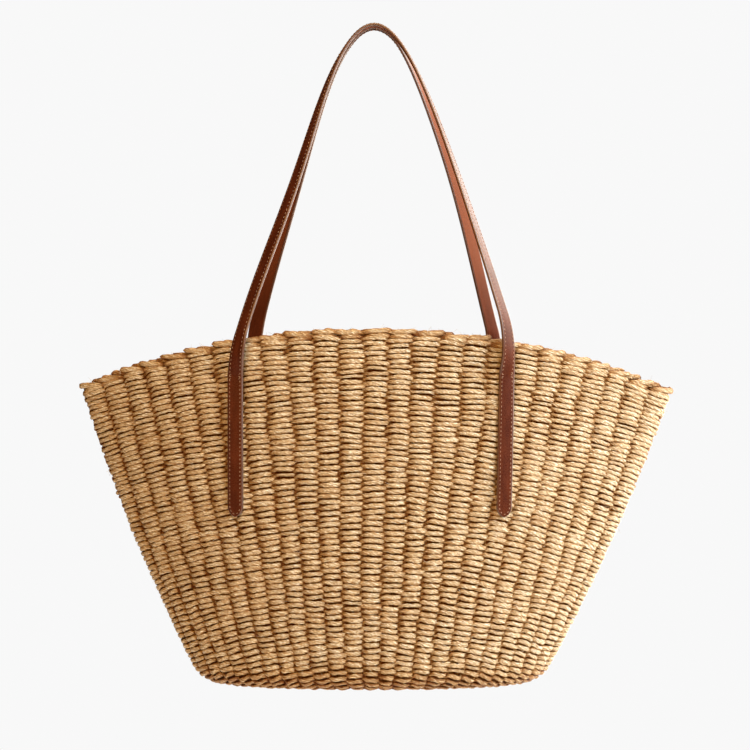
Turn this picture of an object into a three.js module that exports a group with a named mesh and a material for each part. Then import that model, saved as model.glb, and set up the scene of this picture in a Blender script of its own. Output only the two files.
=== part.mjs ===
// A fan-shaped straw tote: woven base, ribbed woven wall, scalloped rim border and two leather handles,
// drawn as it hangs by its handles. Millimetres, +Z up, the front faces -Y.
// The origin is the hang point, under the top of the two handles where a hook or a hand carries them.
import * as THREE from "three";

// Bag body, measured over the outside of the ribs
const RIM_WIDTH = 523;
const RIM_DEPTH = 146;
const BASE_WIDTH = 302;
const BASE_DEPTH = 140;
const SIDE_BULGE = 7; // how far the side edges bow out of a straight line, half way up
const FACE_BULGE = 7; // the same for the front and back
const RIM_CENTRE_HEIGHT = 312;
const RIM_END_HEIGHT = 261;
const RIM_TILT = 2; // the left end of the rim stands this much higher, and the right end lower
const RIM_SHIFT = 1; // middle of the rim in x
const BASE_SHIFT = -3.5; // middle of the base in x, for the bag hangs a little askew
const CORNER_RADIUS = 14; // where the wall turns under into the base
const BASE_END_POWER = 0.5; // a half gives an ellipse in plan
const RIM_END_POWER = 0.88; // towards 1 the ends of the plan draw to a point

// Weave
const STAKES = 50; // upright ribs round the bag, one of them at the middle of the front
const RIB_THICKNESS = 8.4; // wall thickness over a stake
const GROOVE_THICKNESS = 5.2; // wall thickness between two stakes
const BORDER_HEIGHT = 6; // rim border over a stake
const BORDER_SCALLOP = 1.8; // how far its top edge dips between two stakes
const BORDER_WIDTH = 9;
const GAP = 0.3; // clearance between two pieces

// Handles
const STRAP_WIDTH = 14;
const STRAP_THICKNESS = 2.8;
const STRAP_CHAMFER = 0.7;
const STRAP_TIP_LENGTH = 9;
const STRAP_TIP_HEIGHT = 151; // lowest point of the sewn ends above the base
const FREE_LENGTH = 30; // how far below the rim the strap is no longer sewn down
// Each leg of a handle: its x at the top of the seam and how far its tip strays from there, its bend at the
// rim (how far it strays in x, its height above the rim and its length to either side), the share of the
// strap's turn made at either end of the bend, how long it holds back the rest of the turn, and how far the
// free leg bows towards +X. Both straps turn the same way, so the back one, which is laid out on the front
// and mirrored, has its twist reversed. The bends stand off the wall's line.
const FRONT_LEGS = {
  left: {
    seam: { x: -118.3, tipLean: 0.6 },
    bend: { lean: 3.7, height: -4, length: 12 },
    turn: { atBend: [0.24, 0.45], hold: 2.8 },
    bow: 5.7,
  },
  right: {
    seam: { x: 111.4, tipLean: -2.8 },
    bend: { lean: 1.4, height: 4, length: 22 },
    turn: { atBend: [0.33, 0.55], hold: 1 },
    bow: -0.6,
  },
  standoff: 7,
  twist: 1,
};
const BACK_LEGS = {
  left: {
    seam: { x: -110, tipLean: 0 },
    bend: { lean: 1.5, height: 4, length: 22 },
    turn: { atBend: [0.2, 0.37], hold: 1.1 },
    bow: 3.1,
  },
  right: {
    seam: { x: 106.5, tipLean: 0 },
    bend: { lean: 0.8, height: 0, length: 14 },
    turn: { atBend: [0.16, 0.47], hold: 4.8 },
    bow: 2.4,
  },
  standoff: 6,
  twist: -1,
};
const HANG_HEIGHT = 579; // hang point above the base
const ARCH_SPREAD = 31; // the arch spreads as the root of this times the drop from its top
const ARCH_SHIFT = -0.8; // middle of the arch in x
const HANDLE_SPACING = 15.2; // between the front and the back strap on centres, at the top

// Mesh steps
const RIB_STEPS = [-1 / 2, -1 / 6, 1 / 6]; // a groove and the two shoulders of a rib, in stake pitches
const CORNER_ANGLES = [0, 30, 60, 90];
const WALL_RISES = 6;
const SEWN_STEPS = 5;
const BEND_STEPS = 4;
const LEG_STEPS = 16;
const TIP_ANGLES = [15, 35, 60, 90];

const straw = new THREE.MeshStandardMaterial({ color: 0xc89f63, roughness: 0.8, metalness: 0 });
const borderStraw = new THREE.MeshStandardMaterial({ color: 0xb98f55, roughness: 0.8, metalness: 0 });
const leather = new THREE.MeshStandardMaterial({ color: 0x7a3a20, roughness: 0.45, metalness: 0 });

const lerp = THREE.MathUtils.lerp;
const radians = THREE.MathUtils.degToRad;
const UP = new THREE.Vector3(0, 0, 1);

// Closed solid through rings of equal point counts. A loop joins its last ring to its first, and
// otherwise the first and last rings are capped by fans.
function lofted(rings, loop) {
  const count = rings[0].length;
  const triangles = [];
  const last = loop ? rings.length : rings.length - 1;
  for (let r = 0; r < last; r++) {
    const here = r * count;
    const next = ((r + 1) % rings.length) * count;
    for (let p = 0; p < count; p++) {
      const q = (p + 1) % count;
      triangles.push(here + p, next + p, next + q, here + p, next + q, here + q);
    }
  }
  if (!loop) {
    const end = (rings.length - 1) * count;
    for (let p = 1; p < count - 1; p++) {
      triangles.push(0, p, p + 1, end, end + p + 1, end + p);
    }
  }
  const geometry = new THREE.BufferGeometry().setFromPoints(rings.flat());
  geometry.setIndex(triangles);
  geometry.computeVertexNormals();
  return geometry;
}

// One level of the bag seen from above, through the middle of the wall: it starts at the middle of the
// front and runs towards +X.
class PlanCurve extends THREE.Curve {
  constructor(middle, halfWidth, halfDepth, endPower) {
    super();
    Object.assign(this, { middle, halfWidth, halfDepth, endPower });
    this.arcLengthDivisions = 400;
  }

  getPoint(t, target = new THREE.Vector3()) {
    const turn = 2 * Math.PI * t;
    const side = Math.cos(turn);
    const depth = this.halfDepth * Math.sign(side) * Math.abs(side) ** (2 * this.endPower);
    return target.set(this.middle + this.halfWidth * Math.sin(turn), -depth, 0);
  }
}

// Plan of the bag at a rise from 0 at the base to 1 at the rim, drawn in by `inset` in the base corner.
function planAt(rise, inset = 0) {
  const bow = 4 * rise * (1 - rise);
  const halfWidth = lerp(BASE_WIDTH, RIM_WIDTH, rise) / 2 + SIDE_BULGE * bow;
  const halfDepth = lerp(BASE_DEPTH, RIM_DEPTH, rise) / 2 + FACE_BULGE * bow;
  const skin = RIB_THICKNESS / 2 + inset;
  const middle = lerp(BASE_SHIFT, RIM_SHIFT, rise);
  const endPower = lerp(BASE_END_POWER, RIM_END_POWER, rise);
  return new PlanCurve(middle, halfWidth - skin, halfDepth - skin, endPower);
}

const RIM_PLAN = planAt(1);
const BASE_LEVEL = RIB_THICKNESS / 2; // middle of the base's thickness

// Height of the rim's top edge over a place x of the rim.
function rimHeight(x) {
  const across = (x - RIM_PLAN.middle) / RIM_PLAN.halfWidth;
  return lerp(RIM_CENTRE_HEIGHT, RIM_END_HEIGHT, across ** 2) - RIM_TILT * across;
}

// Height of the wall's own top edge, under the border, for a share of the way round the bag.
function wallTop(share) {
  return rimHeight(RIM_PLAN.getPointAt(share).x) - BORDER_HEIGHT - GAP;
}

// Middle of the wall's thickness at a plan, a share of the way round it and a rise.
function wallPoint(plan, share, rise) {
  const point = plan.getPointAt(THREE.MathUtils.euclideanModulo(share, 1));
  point.z = lerp(BASE_LEVEL, wallTop(THREE.MathUtils.euclideanModulo(share, 1)), rise);
  return point;
}

// The levels of the wall: round the base corner, then up to the rim.
const cornerLevels = CORNER_ANGLES.map((angle) => {
  const height = CORNER_RADIUS * (1 - Math.cos(radians(angle)));
  const rise = height / RIM_CENTRE_HEIGHT;
  return { rise, plan: planAt(rise, CORNER_RADIUS * (1 - Math.sin(radians(angle)))) };
});
const cornerTop = cornerLevels.at(-1).rise;
const risenLevels = Array.from({ length: WALL_RISES }, (_, i) => {
  const rise = lerp(cornerTop, 1, (i + 1) / WALL_RISES);
  return { rise, plan: planAt(rise) };
});
const levels = [...cornerLevels, ...risenLevels];

// Shares of the way round at which the ribs are drawn, with the half thickness and border dip there.
const ribs = Array.from({ length: STAKES }, (_, stake) =>
  RIB_STEPS.map((step) => {
    const groove = step === RIB_STEPS[0];
    return {
      share: THREE.MathUtils.euclideanModulo((stake + step) / STAKES, 1),
      half: (groove ? GROOVE_THICKNESS : RIB_THICKNESS) / 2,
      dip: groove ? BORDER_SCALLOP : 0,
    };
  }),
).flat();

// Outward direction and upward direction of the wall's middle surface at one level.
function wallFrame(index, share) {
  const step = 0.25 / STAKES;
  const onLevel = ({ plan, rise }, at) => wallPoint(plan, at, rise);
  const below = levels[Math.max(index - 1, 0)];
  const above = levels[Math.min(index + 1, levels.length - 1)];
  const along = onLevel(levels[index], share + step).sub(onLevel(levels[index], share - step));
  const upward = onLevel(above, share).sub(onLevel(below, share)).normalize();
  const outward = index === 0 ? UP.clone().negate() : along.cross(upward).normalize();
  return { outward, upward };
}

// The ribbed wall, an open ring whose lower edge turns under to meet the base.
function wovenWall() {
  const rings = ribs.map(({ share, half }) => {
    const outer = [];
    const inner = [];
    levels.forEach((level, index) => {
      const middle = wallPoint(level.plan, share, level.rise);
      const { outward } = wallFrame(index, share);
      outer.push(middle.clone().addScaledVector(outward, half));
      inner.unshift(middle.clone().addScaledVector(outward, -half));
    });
    return [...outer, ...inner];
  });
  return lofted(rings, true);
}

// The flat oval base inside the wall's turned-under edge.
function wovenBase() {
  const plan = planAt(0, CORNER_RADIUS + GAP);
  const outline = new THREE.Shape(ribs.map(({ share }) => plan.getPointAt(share)));
  return new THREE.ExtrudeGeometry(outline, { depth: RIB_THICKNESS, bevelEnabled: false });
}

// The border that binds the stake ends along the rim, one scallop to a stake.
function rimBorder() {
  const top = levels.length - 1;
  const half = BORDER_WIDTH / 2;
  const rings = ribs.map(({ share, dip }) => {
    const edge = wallPoint(RIM_PLAN, share, 1);
    const { outward, upward } = wallFrame(top, share);
    const place = (out, up) => edge.clone().addScaledVector(outward, out).addScaledVector(upward, up);
    const crest = GAP + BORDER_HEIGHT - dip;
    return [
      place(0.7 * half, GAP),
      place(half, lerp(GAP, crest, 0.5)),
      place(0.5 * half, crest),
      place(-0.5 * half, crest),
      place(-half, lerp(GAP, crest, 0.5)),
      place(-0.7 * half, GAP),
    ];
  });
  return lofted(rings, true);
}

// Share of the way round a plan at which it reaches a place x, on the front half.
function shareAtX(plan, x) {
  let low = -0.25;
  let high = 0.25;
  for (let step = 0; step < 30; step++) {
    const middle = (low + high) / 2;
    if (plan.getPointAt(THREE.MathUtils.euclideanModulo(middle, 1)).x < x) low = middle;
    else high = middle;
  }
  return low;
}

// A point of a strap that lies on the front of the wall at x and a height, and its outward direction.
function onFront(x, height, standoff = 0) {
  let rise = height / RIM_CENTRE_HEIGHT;
  let share = 0;
  for (let step = 0; step < 4; step++) {
    share = shareAtX(planAt(rise), x);
    const top = wallTop(THREE.MathUtils.euclideanModulo(share, 1));
    rise = (height - BASE_LEVEL) / (top - BASE_LEVEL);
  }
  const plan = planAt(rise);
  const step = 0.25 / STAKES;
  const along = wallPoint(plan, share + step, rise).sub(wallPoint(plan, share - step, rise));
  const outward = along.cross(UP).normalize();
  const reach = RIB_THICKNESS / 2 + GAP + STRAP_THICKNESS / 2 + standoff;
  return { point: wallPoint(plan, share, rise).addScaledVector(outward, reach), outward };
}

// Half of a front handle, from its sewn tip to the top of the arch: places with outward directions and
// half widths. `side` is -1 on the left and 1 on the right.
function handleLeg(side, { seam, bend, turn, bow }, standoff, twist) {
  const tip = STRAP_TIP_HEIGHT;
  const rim = rimHeight(seam.x);
  const free = rim - FREE_LENGTH;
  const half = STRAP_WIDTH / 2;
  const onSeam = (height) => onFront(seam.x + seam.tipLean * (1 - (height - tip) / (free - tip)), height);
  const places = TIP_ANGLES.map((angle) => {
    const height = tip + STRAP_TIP_LENGTH * (1 - Math.cos(radians(angle)));
    return { ...onSeam(height), half: half * Math.sin(radians(angle)) };
  });
  for (let step = 1; step <= SEWN_STEPS; step++) {
    places.push({ ...onSeam(lerp(tip + STRAP_TIP_LENGTH, free, step / SEWN_STEPS)), half });
  }

  const atRim = onFront(seam.x + bend.lean, rim + bend.height, standoff);
  const top = HANG_HEIGHT + STRAP_THICKNESS / 2;
  const fullDrop = top - atRim.point.z;
  const reach = Math.abs(atRim.point.x - ARCH_SHIFT);
  const flare = (reach ** 2 - ARCH_SPREAD * fullDrop) / fullDrop ** 2;
  // A place on the free leg at a drop from the top of the arch, and the strap's way out of the loop there
  const onLeg = (drop) => {
    const spread = Math.sqrt(ARCH_SPREAD * drop + flare * drop ** 2);
    const steepness = drop > 0 ? (2 * spread) / (ARCH_SPREAD + 2 * flare * drop) : 0;
    const climb = (fullDrop - drop) / fullDrop;
    const point = new THREE.Vector3(
      ARCH_SHIFT + side * spread,
      lerp(atRim.point.y, -HANDLE_SPACING / 2, climb),
      top - drop,
    );
    return { point, outward: new THREE.Vector3(side * steepness, 0, 1).setLength(twist) };
  };

  const legStart = onLeg(fullDrop - bend.length);
  const below = places.at(-1).point;
  const bendStart = atRim.point.clone().lerp(below, bend.length / atRim.point.distanceTo(below));
  const curve = new THREE.QuadraticBezierCurve3(bendStart, atRim.point, legStart.point);
  const turned = (outward, share) => atRim.outward.clone().lerp(outward, share).normalize();
  for (let step = 0; step <= BEND_STEPS; step++) {
    const along = step / BEND_STEPS;
    const outward = turned(legStart.outward, lerp(...turn.atBend, along));
    places.push({ point: curve.getPoint(along), outward, half });
  }
  const firstRoot = Math.sqrt(1 - bend.length / fullDrop);
  for (let step = 1; step <= LEG_STEPS; step++) {
    const root = lerp(firstRoot, 0, step / LEG_STEPS);
    const { point, outward } = onLeg(fullDrop * root ** 2);
    const climb = (point.z - legStart.point.z) / (top - legStart.point.z);
    point.x += bow * Math.sin(Math.PI * climb) ** 2;
    places.push({ point, outward: turned(outward, lerp(turn.atBend[1], 1, climb ** turn.hold)), half });
  }
  return places;
}

// Outline of a strap's section at one place: a flat bar with chamfered edges.
function strapSection(place, before, after) {
  const along = after.clone().sub(before).normalize();
  const across = along.clone().cross(place.outward).normalize();
  const outward = across.clone().cross(along);
  const half = place.half;
  const thick = STRAP_THICKNESS / 2;
  const cut = STRAP_CHAMFER;
  const corners = [
    [half, thick - cut],
    [half - cut, thick],
    [cut - half, thick],
    [-half, thick - cut],
    [-half, cut - thick],
    [cut - half, -thick],
    [half - cut, -thick],
    [half, cut - thick],
  ];
  return corners.map(([aside, out]) =>
    place.point.clone().addScaledVector(across, aside).addScaledVector(outward, out),
  );
}

// A whole handle: up one leg, over the top and down the other leg. It is worked out on the front of the
// bag, and `atBack` mirrors it to the back.
function handle(legs, atBack) {
  const left = handleLeg(-1, legs.left, legs.standoff, legs.twist);
  const right = handleLeg(1, legs.right, legs.standoff, legs.twist);
  const places = [...left, ...right.slice(0, -1).toReversed()];
  const rings = places.map((place, i) => {
    const before = places[Math.max(i - 1, 0)].point;
    const after = places[Math.min(i + 1, places.length - 1)].point;
    return strapSection(place, before, after);
  });
  if (!atBack) return lofted(rings, false);
  const mirror = new THREE.Vector3(1, -1, 1);
  return lofted(rings.map((ring) => ring.map((point) => point.multiply(mirror)).reverse()), false);
}

function piece(name, geometry, material) {
  const mesh = new THREE.Mesh(geometry, material);
  mesh.name = name;
  return mesh;
}

const standing = new THREE.Group(); // heights above the base
standing.position.z = -HANG_HEIGHT;
standing.add(
  piece("woven_base", wovenBase(), straw),
  piece("woven_wall", wovenWall(), straw),
  piece("rim_border", rimBorder(), borderStraw),
  piece("handle_front", handle(FRONT_LEGS, false), leather),
  piece("handle_back", handle(BACK_LEGS, true), leather),
);

const tote = new THREE.Group();
tote.add(standing);

export default tote;
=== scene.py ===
"""Dress the woven straw tote: weave, folded rim border, sewn leather handles and a plain studio."""

import logging
import math
from dataclasses import dataclass, field
from enum import Enum

import bpy
import numpy as np
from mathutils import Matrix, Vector


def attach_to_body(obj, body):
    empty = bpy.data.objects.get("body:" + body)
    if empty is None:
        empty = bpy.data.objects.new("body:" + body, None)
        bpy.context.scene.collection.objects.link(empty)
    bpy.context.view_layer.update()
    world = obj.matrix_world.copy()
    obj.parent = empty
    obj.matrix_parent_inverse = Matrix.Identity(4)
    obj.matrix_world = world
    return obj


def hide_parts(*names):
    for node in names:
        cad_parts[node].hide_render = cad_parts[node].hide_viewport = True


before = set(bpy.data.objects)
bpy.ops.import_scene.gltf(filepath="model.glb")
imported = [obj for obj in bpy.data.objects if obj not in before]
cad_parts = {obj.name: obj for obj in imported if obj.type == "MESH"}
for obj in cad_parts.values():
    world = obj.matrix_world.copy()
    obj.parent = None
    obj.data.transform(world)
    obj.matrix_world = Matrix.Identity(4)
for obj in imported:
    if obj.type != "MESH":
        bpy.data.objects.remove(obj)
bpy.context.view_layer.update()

Array = np.ndarray
Random = np.random.Generator
Socket = bpy.types.NodeSocket
Material = bpy.types.Material
Piece = bpy.types.Object

LOG = logging.getLogger("tote")
MM = 0.001  # every size below is in millimetres, heights above the base
ROOT = "root"
STRAND_MAP = "Strand"  # millimetres along and round a strand or strap
BAKE_MAP = "OFBake"
TONE_AND_PAINTED_LIGHT = "tone"  # shade of a strand, darkened by painted shade at the corner and the border heads; on leather, the share of painted light, which grows with height above the rim
PAINTED_SHADE_AND_EDGE_PAINT = "painted_shade_and_edge_paint"  # painted shade on straw, darkened under its floats, in its creases and on its hidden sides; share of edge paint on leather
UP = np.array([0.0, 0.0, 1.0])
STRAND_PLUMP = 0.86  # squareness of a strand's section, 1 for an oval


class Slot(Enum):
    """Material slots of the record."""

    STRAW = "straw"
    BORDER = "border_straw"
    LEATHER = "leather"


class Face(Enum):
    """Side of the bag that a handle is sewn to, as the sign of its depth."""

    FRONT = -1
    BACK = 1


def lerp(low: Array | float, high: Array | float, share: Array | float) -> Array | float:
    """Blend two values in a straight line."""
    return low + (high - low) * share


def unit(vectors: Array) -> Array:
    """Scale vectors to a length of 1."""
    return vectors / np.linalg.norm(vectors, axis=-1, keepdims=True)


def smooth(share: Array | float) -> Array | float:
    """Ease a share from 0 to 1."""
    share = np.clip(share, 0.0, 1.0)
    return share * share * (3.0 - 2.0 * share)


def run_along(points: Array) -> Array:
    """Length along a line at each of its points."""
    steps = np.linalg.norm(np.diff(points, axis=0), axis=1)
    return np.concatenate([[0.0], np.cumsum(steps)])


def turns(places: int) -> Array:
    """Angles of points spread evenly round a ring."""
    return 2.0 * math.pi * np.arange(places) / places


def section(places: int) -> tuple[Array, Array]:
    """Shape of a strand's section, out of the wall and up it, each from -1 to 1."""
    sides = (np.cos(turns(places)), np.sin(turns(places)))
    return tuple(np.sign(side) * np.abs(side) ** STRAND_PLUMP for side in sides)


def draw(rng: Random, shape: tuple | int, most: float) -> Array:
    """Draw spreads about 0, none of them beyond the most."""
    return rng.normal(0.0, 1.0, shape).clip(-most, most)


@dataclass(frozen=True)
class BagForm:
    """Middle surface of the bag's wall, base and corner.

    A share runs once round the bag from the middle of the front towards +X. A reach runs in
    millimetres from the middle line of the base outwards, round the corner and up to the rim.
    A rise runs from 0 at the base to 1 at the rim.
    """

    rim_width: float = 523.0
    rim_depth: float = 146.0
    base_width: float = 302.0
    base_depth: float = 140.0
    side_bulge: float = 7.0  # how far the two ends bow out half-way up
    face_bulge: float = 7.0  # how far front and back bow out there
    rim_centre_height: float = 312.0
    rim_end_height: float = 261.0
    rim_tilt: float = 2.0  # how far the rim drops at its right end and rises at its left
    rim_shift: float = 1.0
    base_shift: float = -3.5
    corner_radius: float = 14.0
    base_end_power: float = 0.5  # sharpness of the plan's ends, 0.5 for an oval
    rim_end_power: float = 0.88
    rib_thickness: float = 8.4
    border_height: float = 6.0
    gap: float = 0.3
    hang_height: float = 579.0  # inner top of the arch, where the frame has its origin
    wall_length: float = 288.0
    turn_steps: int = 1440
    share_step: float = 0.004  # half of the way over which a ring's direction is measured
    front_step: float = 0.005  # the same for places on the front
    reach_step: float = 1.0
    least_reach: float = 0.5
    most_splay: float = 0.4
    fit_rounds: int = 5

    @property
    def base_level(self) -> float:
        """Height of the middle of the base's thickness."""
        return self.rib_thickness / 2

    @property
    def flat_reach(self) -> float:
        """Reach at which the base begins to turn up."""
        return self.base_depth / 2 - self.rib_thickness / 2 - self.corner_radius

    @property
    def corner_reach(self) -> float:
        """Reach at which the corner has become the wall."""
        return self.flat_reach + self.corner_radius * math.pi / 2

    @property
    def full_reach(self) -> float:
        """Reach of the wall's top edge, under the border."""
        return self.corner_reach + self.wall_length

    def outline(self, rise: float, inset: float) -> tuple[Array, Array]:
        """Trace the bag's plan at one level.

        Args:
            rise: Level of the plan.
            inset: How far the base corner draws the plan in.

        Returns:
            Share of the way round at each traced point, and the points as x and y.
        """
        bow = 4.0 * rise * (1.0 - rise)
        skin = self.rib_thickness / 2 + inset
        half_width = lerp(self.base_width, self.rim_width, rise) / 2 + self.side_bulge * bow - skin
        half_depth = lerp(self.base_depth, self.rim_depth, rise) / 2 + self.face_bulge * bow - skin
        power = lerp(self.base_end_power, self.rim_end_power, rise)
        turn = np.linspace(0.0, 2.0 * math.pi, self.turn_steps + 1)
        side = np.cos(turn)
        x = lerp(self.base_shift, self.rim_shift, rise) + half_width * np.sin(turn)
        y = -half_depth * np.sign(side) * np.abs(side) ** (2.0 * power)
        points = np.stack([x, y], axis=1)
        run = run_along(points)
        return run / run[-1], points

    def place(self, rise: float, inset: float, shares: Array) -> Array:
        """Find places on the plan of a level.

        Args:
            rise: Level of the plan.
            inset: How far the base corner draws it in.
            shares: Shares of the way round.

        Returns:
            Places as x and y.
        """
        along, points = self.outline(rise, inset)
        around = np.mod(shares, 1.0)
        return np.stack([np.interp(around, along, points[:, i]) for i in (0, 1)], axis=-1)

    def rim_height(self, x: Array | float) -> Array | float:
        """Height of the border's top edge over a place x of the rim."""
        across = (x - self.rim_shift) / ((self.rim_width - self.rib_thickness) / 2)
        return lerp(self.rim_centre_height, self.rim_end_height, across**2) - self.rim_tilt * across

    def wall_top(self, shares: Array) -> Array:
        """Height of the wall's own top edge."""
        return self.rim_height(self.place(1.0, 0.0, shares)[..., 0]) - self.border_height - self.gap

    def level(self, reach: float) -> tuple[float, float]:
        """Turn a reach into a level of the plan.

        Args:
            reach: Reach on the base, the corner or the wall.

        Returns:
            Rise, and how far the base corner draws the plan in.
        """
        if reach <= self.flat_reach:
            return 0.0, self.corner_radius + self.flat_reach - reach
        corner_top = self.corner_radius / self.rim_centre_height
        if reach <= self.corner_reach:
            angle = (reach - self.flat_reach) / self.corner_radius
            return corner_top * (1.0 - math.cos(angle)), self.corner_radius * (1.0 - math.sin(angle))
        return lerp(corner_top, 1.0, (reach - self.corner_reach) / self.wall_length), 0.0

    def ring(self, reach: float, shares: Array) -> Array:
        """Find points of the middle surface.

        Args:
            reach: Reach of the ring.
            shares: Shares of the way round.

        Returns:
            The points.
        """
        rise, inset = self.level(reach)
        height = lerp(self.base_level, self.wall_top(shares), rise)
        return np.concatenate([self.place(rise, inset, shares), height[..., None]], axis=-1)

    def climb(self, reach: float, shares: Array) -> Array:
        """Way that stakes at given shares take from just below a reach to just above it."""
        low = max(reach - self.reach_step, self.least_reach)
        return self.ring(reach + self.reach_step, shares) - self.ring(low, shares)

    def frames(self, reach: float, shares: Array) -> tuple[Array, Array, Array, Array]:
        """Find points of the middle surface with its directions.

        Args:
            reach: Reach of the ring.
            shares: Shares of the way round.

        Returns:
            Points, and the directions along the ring, up the wall and out of it.
        """
        step = self.share_step
        along = unit(self.ring(reach, shares + step) - self.ring(reach, shares - step))
        outward = unit(np.cross(along, unit(self.climb(reach, shares))))
        return self.ring(reach, shares), along, np.cross(outward, along), outward

    def splay(self, reach: float, shares: Array) -> Array:
        """Find how far lines square to the stakes slope against the ring.

        Args:
            reach: Reach of the ring.
            shares: Shares of the way round.

        Returns:
            Slopes in the wall.
        """
        _, along, upward, _ = self.frames(reach, shares)
        stake = self.climb(reach, shares)
        slope = -np.sum(stake * along, axis=-1) / np.sum(stake * upward, axis=-1)
        return np.clip(slope, -self.most_splay, self.most_splay)

    def full_pitch(self, reach: float, shares: Array, count: int) -> Array:
        """Distance between stakes round given places, for a number of stakes."""
        half = 0.5 / count
        return np.linalg.norm(self.ring(reach, shares + half) - self.ring(reach, shares - half), axis=-1)

    def on_front(self, x: float, height: float, off_middle: float) -> tuple[Array, Array]:
        """Find a place on the front of the bag.

        Args:
            x: Place across the bag.
            height: Height above the base.
            off_middle: Distance out of the wall's middle surface.

        Returns:
            The point and its level outward direction.
        """
        quarter = self.turn_steps // 4
        front = np.arange(-quarter, quarter + 1)
        traced = np.where(front < 0, front - 1, front)  # the last traced point repeats the first
        rise, share = height / self.rim_centre_height, 0.0
        for _ in range(self.fit_rounds):
            along, points = self.outline(rise, 0.0)
            share = float(np.interp(x, points[traced, 0], along[traced] - (front < 0)))
            top = float(self.wall_top(np.array([share]))[0])
            rise = (height - self.base_level) / (top - self.base_level)
        before, here, after = self.place(rise, 0.0, share + self.front_step * np.array([-1.0, 0.0, 1.0]))
        outward = unit(np.array([after[1] - before[1], before[0] - after[0], 0.0]))
        return np.array([*here, height]) + outward * off_middle, outward


FORM = BagForm()


@dataclass
class TubeBatch:
    """Tubes of one make, each a row of rings of points.

    Attributes:
        points: Ring points in millimetres, by tube, ring, place round the ring and axis.
        closed: Whether each tube joins its own start.
        tone: Shade of the strand, 0 to 1, by tube and ring.
        painted_shade_and_edge_paint: Painted shade of each point of straw and share of edge paint on
            leather, 0 to 1, by tube, ring and place.
        strips: Number of strips that each tube is cut into on the bake map.
    """

    points: Array
    closed: bool
    tone: Array
    painted_shade_and_edge_paint: Array
    strips: int = 1

    @property
    def spans(self) -> int:
        """Number of steps from ring to ring along each tube."""
        return self.points.shape[1] - (0 if self.closed else 1)

    def corners(self) -> tuple[Array, Array, Array]:
        """Index the quads of all tubes.

        Returns:
            Tube, ring and place of the four corners of each quad. Ring and place run one past
            their last value where a tube joins itself.
        """
        tubes, rings, places = self.points.shape[:3]
        ranges = (np.arange(tubes), np.arange(self.spans), np.arange(places))
        tube, ring, place = (grid.reshape(-1, 1) for grid in np.meshgrid(*ranges, indexing="ij"))
        tube = np.repeat(tube, 4, axis=1)
        ring = ring + np.array([0, 1, 1, 0])
        place = place + np.array([0, 0, 1, 1])
        if self.closed:
            return tube, ring, place
        lower = np.arange(places // 2 - 1)
        cap = np.stack([lower, lower + 1, places - 2 - lower, places - 1 - lower], axis=1)
        ends = []
        for index in range(tubes):
            ends.append((index, 0, cap[:, ::-1]))
            ends.append((index, rings - 1, cap))
        tube = np.concatenate([tube] + [np.full_like(c, i) for i, _, c in ends])
        ring = np.concatenate([ring] + [np.full_like(c, r) for _, r, c in ends])
        place = np.concatenate([place] + [c for _, _, c in ends])
        return tube, ring, place

    def runs(self) -> Array:
        """Measure the tubes lengthwise.

        Returns:
            Length along each tube at each ring, with the closing step on closed tubes.
        """
        middle = self.points.mean(axis=2)
        if self.closed:
            middle = np.concatenate([middle, middle[:, :1]], axis=1)
        steps = np.linalg.norm(np.diff(middle, axis=1), axis=-1)
        return np.concatenate([np.zeros((len(middle), 1)), np.cumsum(steps, axis=1)], axis=1)

    def girths(self) -> Array:
        """Measure the tubes round their widest rings.

        Returns:
            Length round each tube at each place, with the closing step.
        """
        joined = np.concatenate([self.points, self.points[:, :, :1]], axis=2)
        steps = np.linalg.norm(np.diff(joined, axis=2), axis=-1)
        around = np.concatenate([np.zeros(steps.shape[:2] + (1,)), np.cumsum(steps, axis=2)], axis=2)
        return around.max(axis=1)


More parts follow.
